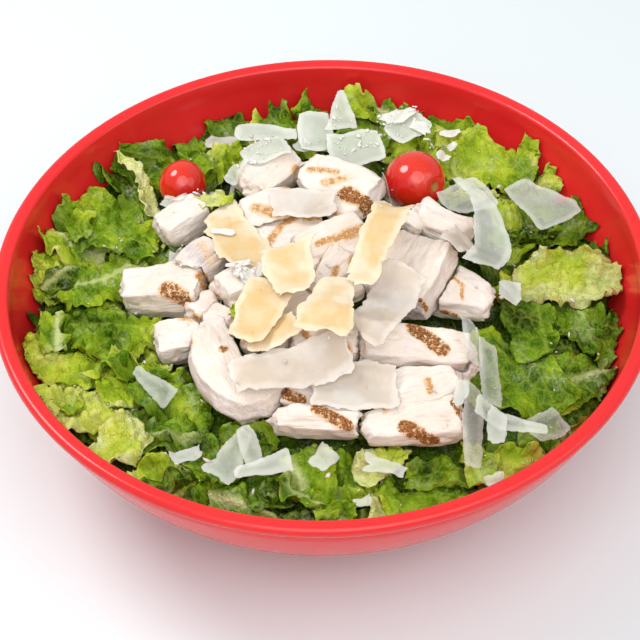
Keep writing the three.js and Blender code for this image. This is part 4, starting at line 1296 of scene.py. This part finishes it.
def makeCheese():
    finishes = {kind: cheeseFinish(kind) for kind in cheeseKinds}
    detail = cheeseDetail
    tearDepth, tearSize = detail["tear"]
    ripple, rippleSize = detail["ripple"]
    waveHeight, waveSize = detail["wave"]
    least, most, slimTo = detail["slimness"]
    total = 0
    for node in sorted(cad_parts):
        if not node.startswith("cheese"):
            continue
        number = node[-2:]
        kind = next((k for k, numbers in shavingKinds.items() if number in numbers), "pale")
        piece = solidCopy(node, "shaving_" + number, detail["voxel"])
        points, normals = pointsOf(piece), pointsOf(piece, "normal")
        level = points - points.mean(0)
        axes = np.linalg.svd(level, full_matrices=False)[2]
        rim = np.nonzero(np.abs(normals @ axes[2]) < 0.5)[0]
        tree = KDTree(len(rim))
        for k in rim:
            tree.insert(points[k], k)
        tree.balance()
        inward = np.array([tree.find(p)[2] for p in points])
        applyModifier(piece, "SMOOTH", factor=0.5, iterations=detail["rounding"])
        points = pointsOf(piece)
        fromMiddle = heightInSheet(piece, points, pointsOf(piece, "normal"), axes)
        middle = points.mean(0)
        s, t = (points - middle) @ axes[0], (points - middle) @ axes[1]
        out = np.hypot(s / np.abs(s).max(), t / np.abs(t).max())
        rounded = (1 + (out - 1) * (1 - detail["corners"])) / np.maximum(out, 1e-6)
        pull = np.where(out > 1, rounded, 1) - 1
        nearRim = smoothStep(detail["rim"], 0, inward) * (0.5 if kind == "pale" else 1)
        pull = pull + ripple * nearRim * noiseOver(points, rippleSize, 64)
        pull = pull + detail["grow"] / np.maximum(np.hypot(s, t), 3)
        before = points
        points = points + np.outer(pull * s, axes[0]) + np.outer(pull * t, axes[1])
        for axis, seed in ((0, 61), (1, 62)):
            points[:, axis] += tearDepth * nearRim * noiseOver(before, tearSize, seed, layeredNoise)
        points[:, 2] += waveHeight * noiseOver(before, waveSize, 63)
        slim = least + (most - least) * smoothStep(0, slimTo, inward)
        movePoints(piece, points - np.outer(fromMiddle * (1 - slim), axes[2]))
        clear = np.full(len(points), clearShavings.get(number, 0.0))
        setMarks(piece, inward=smoothStep(0, 1, inward / detail["heart"]), clear=clear)
        dress(piece, finishes[kind], "cheese_aged" if number in agedSolids else "cheese_pale", node)
        total += len(piece.data.polygons)
    print("cheese:", total, "faces")
    return finishes


# flakes, crumbs and dressing, which lie on what is below them

# kind, place, length by width, heading
flakes = [
    ("white", (-29, -12), (15, 6), 125), ("white", (-40, 18), (10, 3.6), -20),
    ("white", (-32, -4), (7, 4), 20),
    ("white", (56, 92), (9, 5), -20), ("white", (55, 84), (6, 4), 40), ("white", (52, 75), (6, 4), 10),
    ("white", (34, 92), (16, 8), 15), ("white", (42, 84), (9, 6), -30),
    ("white", (-48, 45), (10, 5), 15), ("cream", (19, 56), (9, 6), 30),
    ("pale", (29, 48), (10, 8), 70), ("pale", (-53, -81), (12, 7), 20),
    ("pale", (-2, -87), (9, 8), 50), ("pale", (20, -91), (15, 7), -15), ("pale", (-59, 12), (12, 8), 80),
    ("pale", (-61, 44), (11, 7), -30), ("pale", (-43, 54), (13, 7), -40),
    ("pale", (-36, 55), (12, 8), 60),
    ("pale", (61, -84), (16, 7), 80), ("pale", (49, -68), (13, 5), 72), ("pale", (60, -96), (7, 5), 30),
    ("pale", (12, -103), (7, 4), 10), ("pale", (-24, 76), (8, 5), 20), ("pale", (-8, 81), (7, 5), -40),
]
flakeDetail = {
    "grid": (21, 15),
    "ragged": 0.34,
    "wave": (0.9, 7),  # height and size
    "bend": 0.02,
    "thickness": 0.5,
    "thinRim": 0.35,
    "gap": 0.6,
    "lowest": 50,  # what a flake lies on where there is nothing below it
    "clear": (0.34, 0.1),  # at the rim, and how much less within
}


def makeFlakes(top, finishes):
    detail = flakeDetail
    batches = {kind: Batch("flakes" + kind.title()) for kind in ("pale", "cream", "white")}
    soft = HeightMap(np.maximum(top.softened().values, detail["lowest"]))
    v, u = (np.linspace(-1, 1, count) for count in detail["grid"])
    v, u = v[:, None], u[None, :]
    angle = np.arctan2(v, u)
    outwards = np.maximum(np.abs(u), np.abs(v))
    square = outwards / np.maximum(np.hypot(u, v), 1e-6)
    waveHeight, waveSize = detail["wave"]
    clear, less = detail["clear"]
    for i, (kind, at, (length, width), heading) in enumerate(flakes):
        torn = layeredNoise(3 + 1.8 * np.cos(angle), 3 + 1.8 * np.sin(angle), i, 71)
        reach = (0.5 + 0.5 * square) * (1 + detail["ragged"] * torn)
        x, y = v * reach * length / 2, u * reach * width / 2
        z = waveHeight * softNoise(x / waveSize, y / waveSize, i, 72)
        z = z + detail["bend"] * (x * x) * (chance(i, 73) - 0.3)
        sheet = np.stack(np.broadcast_arrays(x, y, z), -1) @ turned(heading).T
        sheet[..., :2] += at
        ground = soft.at(sheet[..., 0], sheet[..., 1])
        sheet[..., 2] = np.maximum(sheet[..., 2] + np.quantile(ground, 0.6), ground + detail["gap"])
        points, faces = closedSheet(sheet, detail["thickness"] - detail["thinRim"] * outwards ** 4)
        inward = np.minimum(1 - np.abs(u), 1 - np.abs(v)) * width / 2 / cheeseDetail["heart"] * 0.8
        inward = np.concatenate([inward.ravel()] * 2)
        batches[kind].add(points, faces, inward, clear - less * inward)
        top.meet(points, np.maximum)
    for kind, batch in batches.items():
        dress(batch.make("inward", "clear"), finishes[kind], "cheese_pale")
    print("flakes made")


crumbs = {"number": 110, "sizes": (0.3, 1.1), "reach": 104}
# crumbs that lie together
heaps = [
    {"number": 70, "sizes": (0.4, 1.6), "reach": 15, "middle": (38, 88)},
    {"number": 46, "sizes": (0.4, 1.5), "reach": 12, "middle": (14, 84)},
    {"number": 30, "sizes": (0.4, 1.8), "reach": 7, "middle": (-30, -8)},
    {"number": 18, "sizes": (0.4, 1.6), "reach": 8, "middle": (-48, 46)},
    {"number": 34, "sizes": (0.4, 1.5), "reach": 12, "middle": (-30, 66)},
]
drops = {"number": 90, "sizes": (0.25, 0.7), "reach": 112}
lumpDetail = {
    "middle": (-2, -6),
    "limit": 112,  # none lies further out
    "lowest": 40,  # nor where there is nothing below it
    "stretch": ((0.8, 1.3), (0.4, 0.5)),  # least length and width, and what chance adds
    "pitch": 20,
    "rough": (0.45, 2),  # depth and fineness
    "raised": 0.35,  # share of its height
}


def scatterLumps(name, amounts, top, finish, slot, flat, seed):
    shape, sides = ballShape(1)
    batch = Batch(name)
    detail = lumpDetail
    small, large = amounts["sizes"]
    middleX, middleY = amounts.get("middle", detail["middle"])
    depth, fine = detail["rough"]
    (length, longer), (width, wider) = detail["stretch"]
    for n in range(amounts["number"]):
        angle, *chances = [chance(n, seed + k) for k in range(7)]
        angle = 2 * math.pi * angle
        out = amounts["reach"] * math.sqrt(chances[0])
        x, y = out * math.cos(angle) + middleX, out * math.sin(angle) + middleY
        height = top.at(np.array([x]), np.array([y]))[0]
        if math.hypot(x, y) > detail["limit"] or height < detail["lowest"]:
            continue
        size = small + (large - small) * chances[1] ** 3
        stretch = np.array([length + longer * chances[2], width + wider * chances[3], flat])
        turn = turned(360 * chances[4], 2 * detail["pitch"] * (chances[5] - 0.5))
        a, b, c = shape.T * fine
        rough = 1 + depth * softNoise(a + n, b, c, seed)
        points = (shape * rough[:, None] * stretch * size) @ turn.T
        batch.add(points + (x, y, height + detail["raised"] * size * flat), sides)
    piece = batch.make()
    if slot != "romaine":
        rim = np.zeros(len(piece.data.vertices))
        setMarks(piece, inward=rim, clear=rim)
    dress(piece, finish, slot)
    print(name, len(piece.data.polygons), "faces")


# tomatoes

# place, and tilt of the stem's end from upright and its heading
tomatoes = {
    "left": {"at": (-58.4, 61.8, 65), "diameter": 19.8, "tilt": (110, 60)},
    "right": {"at": (38.8, 55.4, 69.2), "diameter": 25, "tilt": (71, -46)},
}


tomatoShape = {
    "taller": 1.04,
    "dimple": (0.16, 0.24),  # depth and width by the stem, as shares of the radius
    "base": (0.05, 0.2),
    "lobes": (0.012, 3),
    "scar": (0.17, 0.07),  # where it fades out, as shares of the radius
}


def makeTomatoes():
    finish = tomatoFinish()
    shape = tomatoShape
    (dimple, dimpleWidth), (base, baseWidth) = shape["dimple"], shape["base"]
    lobe, lobes = shape["lobes"]
    for name, tomato in tomatoes.items():
        radius = tomato["diameter"] / 2
        deselectAll()
        bpy.ops.mesh.primitive_uv_sphere_add(segments=56, ring_count=32, radius=radius * mm)
        piece = bpy.context.object
        piece.name = piece.data.name = "tomato" + name.title() + "Skin"
        points = pointsOf(piece)
        away = np.hypot(points[:, 0], points[:, 1])
        points[:, 2] *= shape["taller"]
        top = points[:, 2] > 0
        dent = dimple * radius * np.exp(-((away / (dimpleWidth * radius)) ** 2))
        points[:, 2] -= np.where(top, dent, 0)
        dent = base * radius * np.exp(-((away / (baseWidth * radius)) ** 2))
        points[:, 2] += np.where(top, 0, dent)
        swell = 1 + lobe * np.cos(lobes * np.arctan2(points[:, 1], points[:, 0]) + radius)
        points[:, :2] *= swell[:, None]
        lean, towards = (math.radians(angle) for angle in tomato["tilt"])
        turn = np.array(Matrix.Rotation(towards, 3, "Z") @ Matrix.Rotation(lean, 3, "Y"))
        movePoints(piece, points @ turn.T + tomato["at"])
        setMarks(piece, scar=np.where(top, smoothStep(*shape["scar"], away / radius), 0))
        dress(piece, finish, "tomato", "tomato_" + name)
    print("tomatoes made")


# stage

camera = {
    "target": (-2.1, -29.3, 76),
    "elevation": 46.6,
    "distance": 700,
    "roll": -1.4,
    "lens": 103.1,
    "sensor": 36,
}
lamps = [
    {"name": "window", "from": (-520, 280, 800), "size": 440, "power": 4.6, "colour": (1, 0.99, 0.97)},
    {"name": "room", "from": (120, -560, 1080), "size": 1100, "power": 5.6, "colour": (1, 0.99, 0.975)},
    {"name": "side", "from": (820, -420, 720), "size": 900, "power": 2.0, "colour": (1, 1, 1)},
    {"name": "ceiling", "from": (-150, -760, 900), "size": 1000, "power": 2.2, "colour": (1, 1, 1)},
]
room = {"colour": (0.97, 0.98, 1.0, 1), "strength": 0.58, "lampsFace": (0, 0, 60), "floorSize": 6000}


def makeStage():
    deselectAll()
    bpy.ops.mesh.primitive_plane_add(size=room["floorSize"] * mm)
    floor = bpy.context.object
    floor.name = "table"
    floor.data.materials.append(floorFinish())
    world = bpy.data.worlds.new("paleRoom")
    world.use_nodes = True
    background = world.node_tree.nodes["Background"].inputs
    background["Color"].default_value = room["colour"]
    background["Strength"].default_value = room["strength"]
    bpy.context.scene.world = world
    faced = Vector(room["lampsFace"]) * mm
    for lamp in lamps:
        light = bpy.data.lights.new(lamp["name"], "AREA")
        light.shape = "DISK"
        light.size = lamp["size"] * mm
        light.energy = lamp["power"]
        light.color = lamp["colour"]
        stand = placed(lamp["name"], light)
        stand.location = Vector(lamp["from"]) * mm
        stand.rotation_euler = (faced - stand.location).to_track_quat("-Z", "Y").to_euler()


def makeCamera():
    # it looks at the target from the diner's side
    angle = math.radians(camera["elevation"])
    forward = Vector((0, math.cos(angle), -math.sin(angle)))
    place = Vector(camera["target"]) - forward * camera["distance"]
    right = Vector((1, 0, 0))
    up = right.cross(forward)
    roll = math.radians(camera["roll"])
    across = right * math.cos(roll) + up * math.sin(roll)
    upright = up * math.cos(roll) - right * math.sin(roll)
    body = bpy.data.cameras.new("camera")
    body.lens = camera["lens"]
    body.sensor_width = camera["sensor"]
    body.clip_start = 0.01
    body.clip_end = 20
    eye = placed("camera", body)
    turn = Matrix((across, upright, -forward)).transposed().to_4x4()
    eye.matrix_world = Matrix.Translation(place * mm) @ turn
    bpy.context.scene.camera = eye


makeBowl()
print("bowl made")
leafHeap = HeightMap.cast(treeOf("romaine"))
toppings = treeOf(*[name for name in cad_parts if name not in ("bowl", "romaine")])
leafMaterial, leafTop = makeLeaves(leafHeap, HeightMap.cast(toppings, upwards=True))
makeLeafCore(leafMaterial, leafHeap)
makeShreds(makeChicken())
cheeseMaterials = makeCheese()
piled = treeOf(*[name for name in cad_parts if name.startswith(("chicken", "cheese"))])
everything = HeightMap(np.maximum(leafTop.values, HeightMap.cast(piled).values))
makeFlakes(everything, cheeseMaterials)
makePerched(leafMaterial, everything)
scatterLumps("cheeseCrumbs", crumbs, everything, cheeseMaterials["cream"], "cheese_pale", 0.6, 81)
for k, heap in enumerate(heaps):
    name, seed = "crumbHeap" + str(k), 201 + 10 * k
    scatterLumps(name, heap, everything, cheeseMaterials["white"], "cheese_pale", 0.45, seed)
scatterLumps("dressingDrops", drops, everything, dressingFinish(), "romaine", 0.4, 91)
makeTomatoes()
makeStage()
makeCamera()
bpy.context.scene.view_settings.view_transform = "Standard"
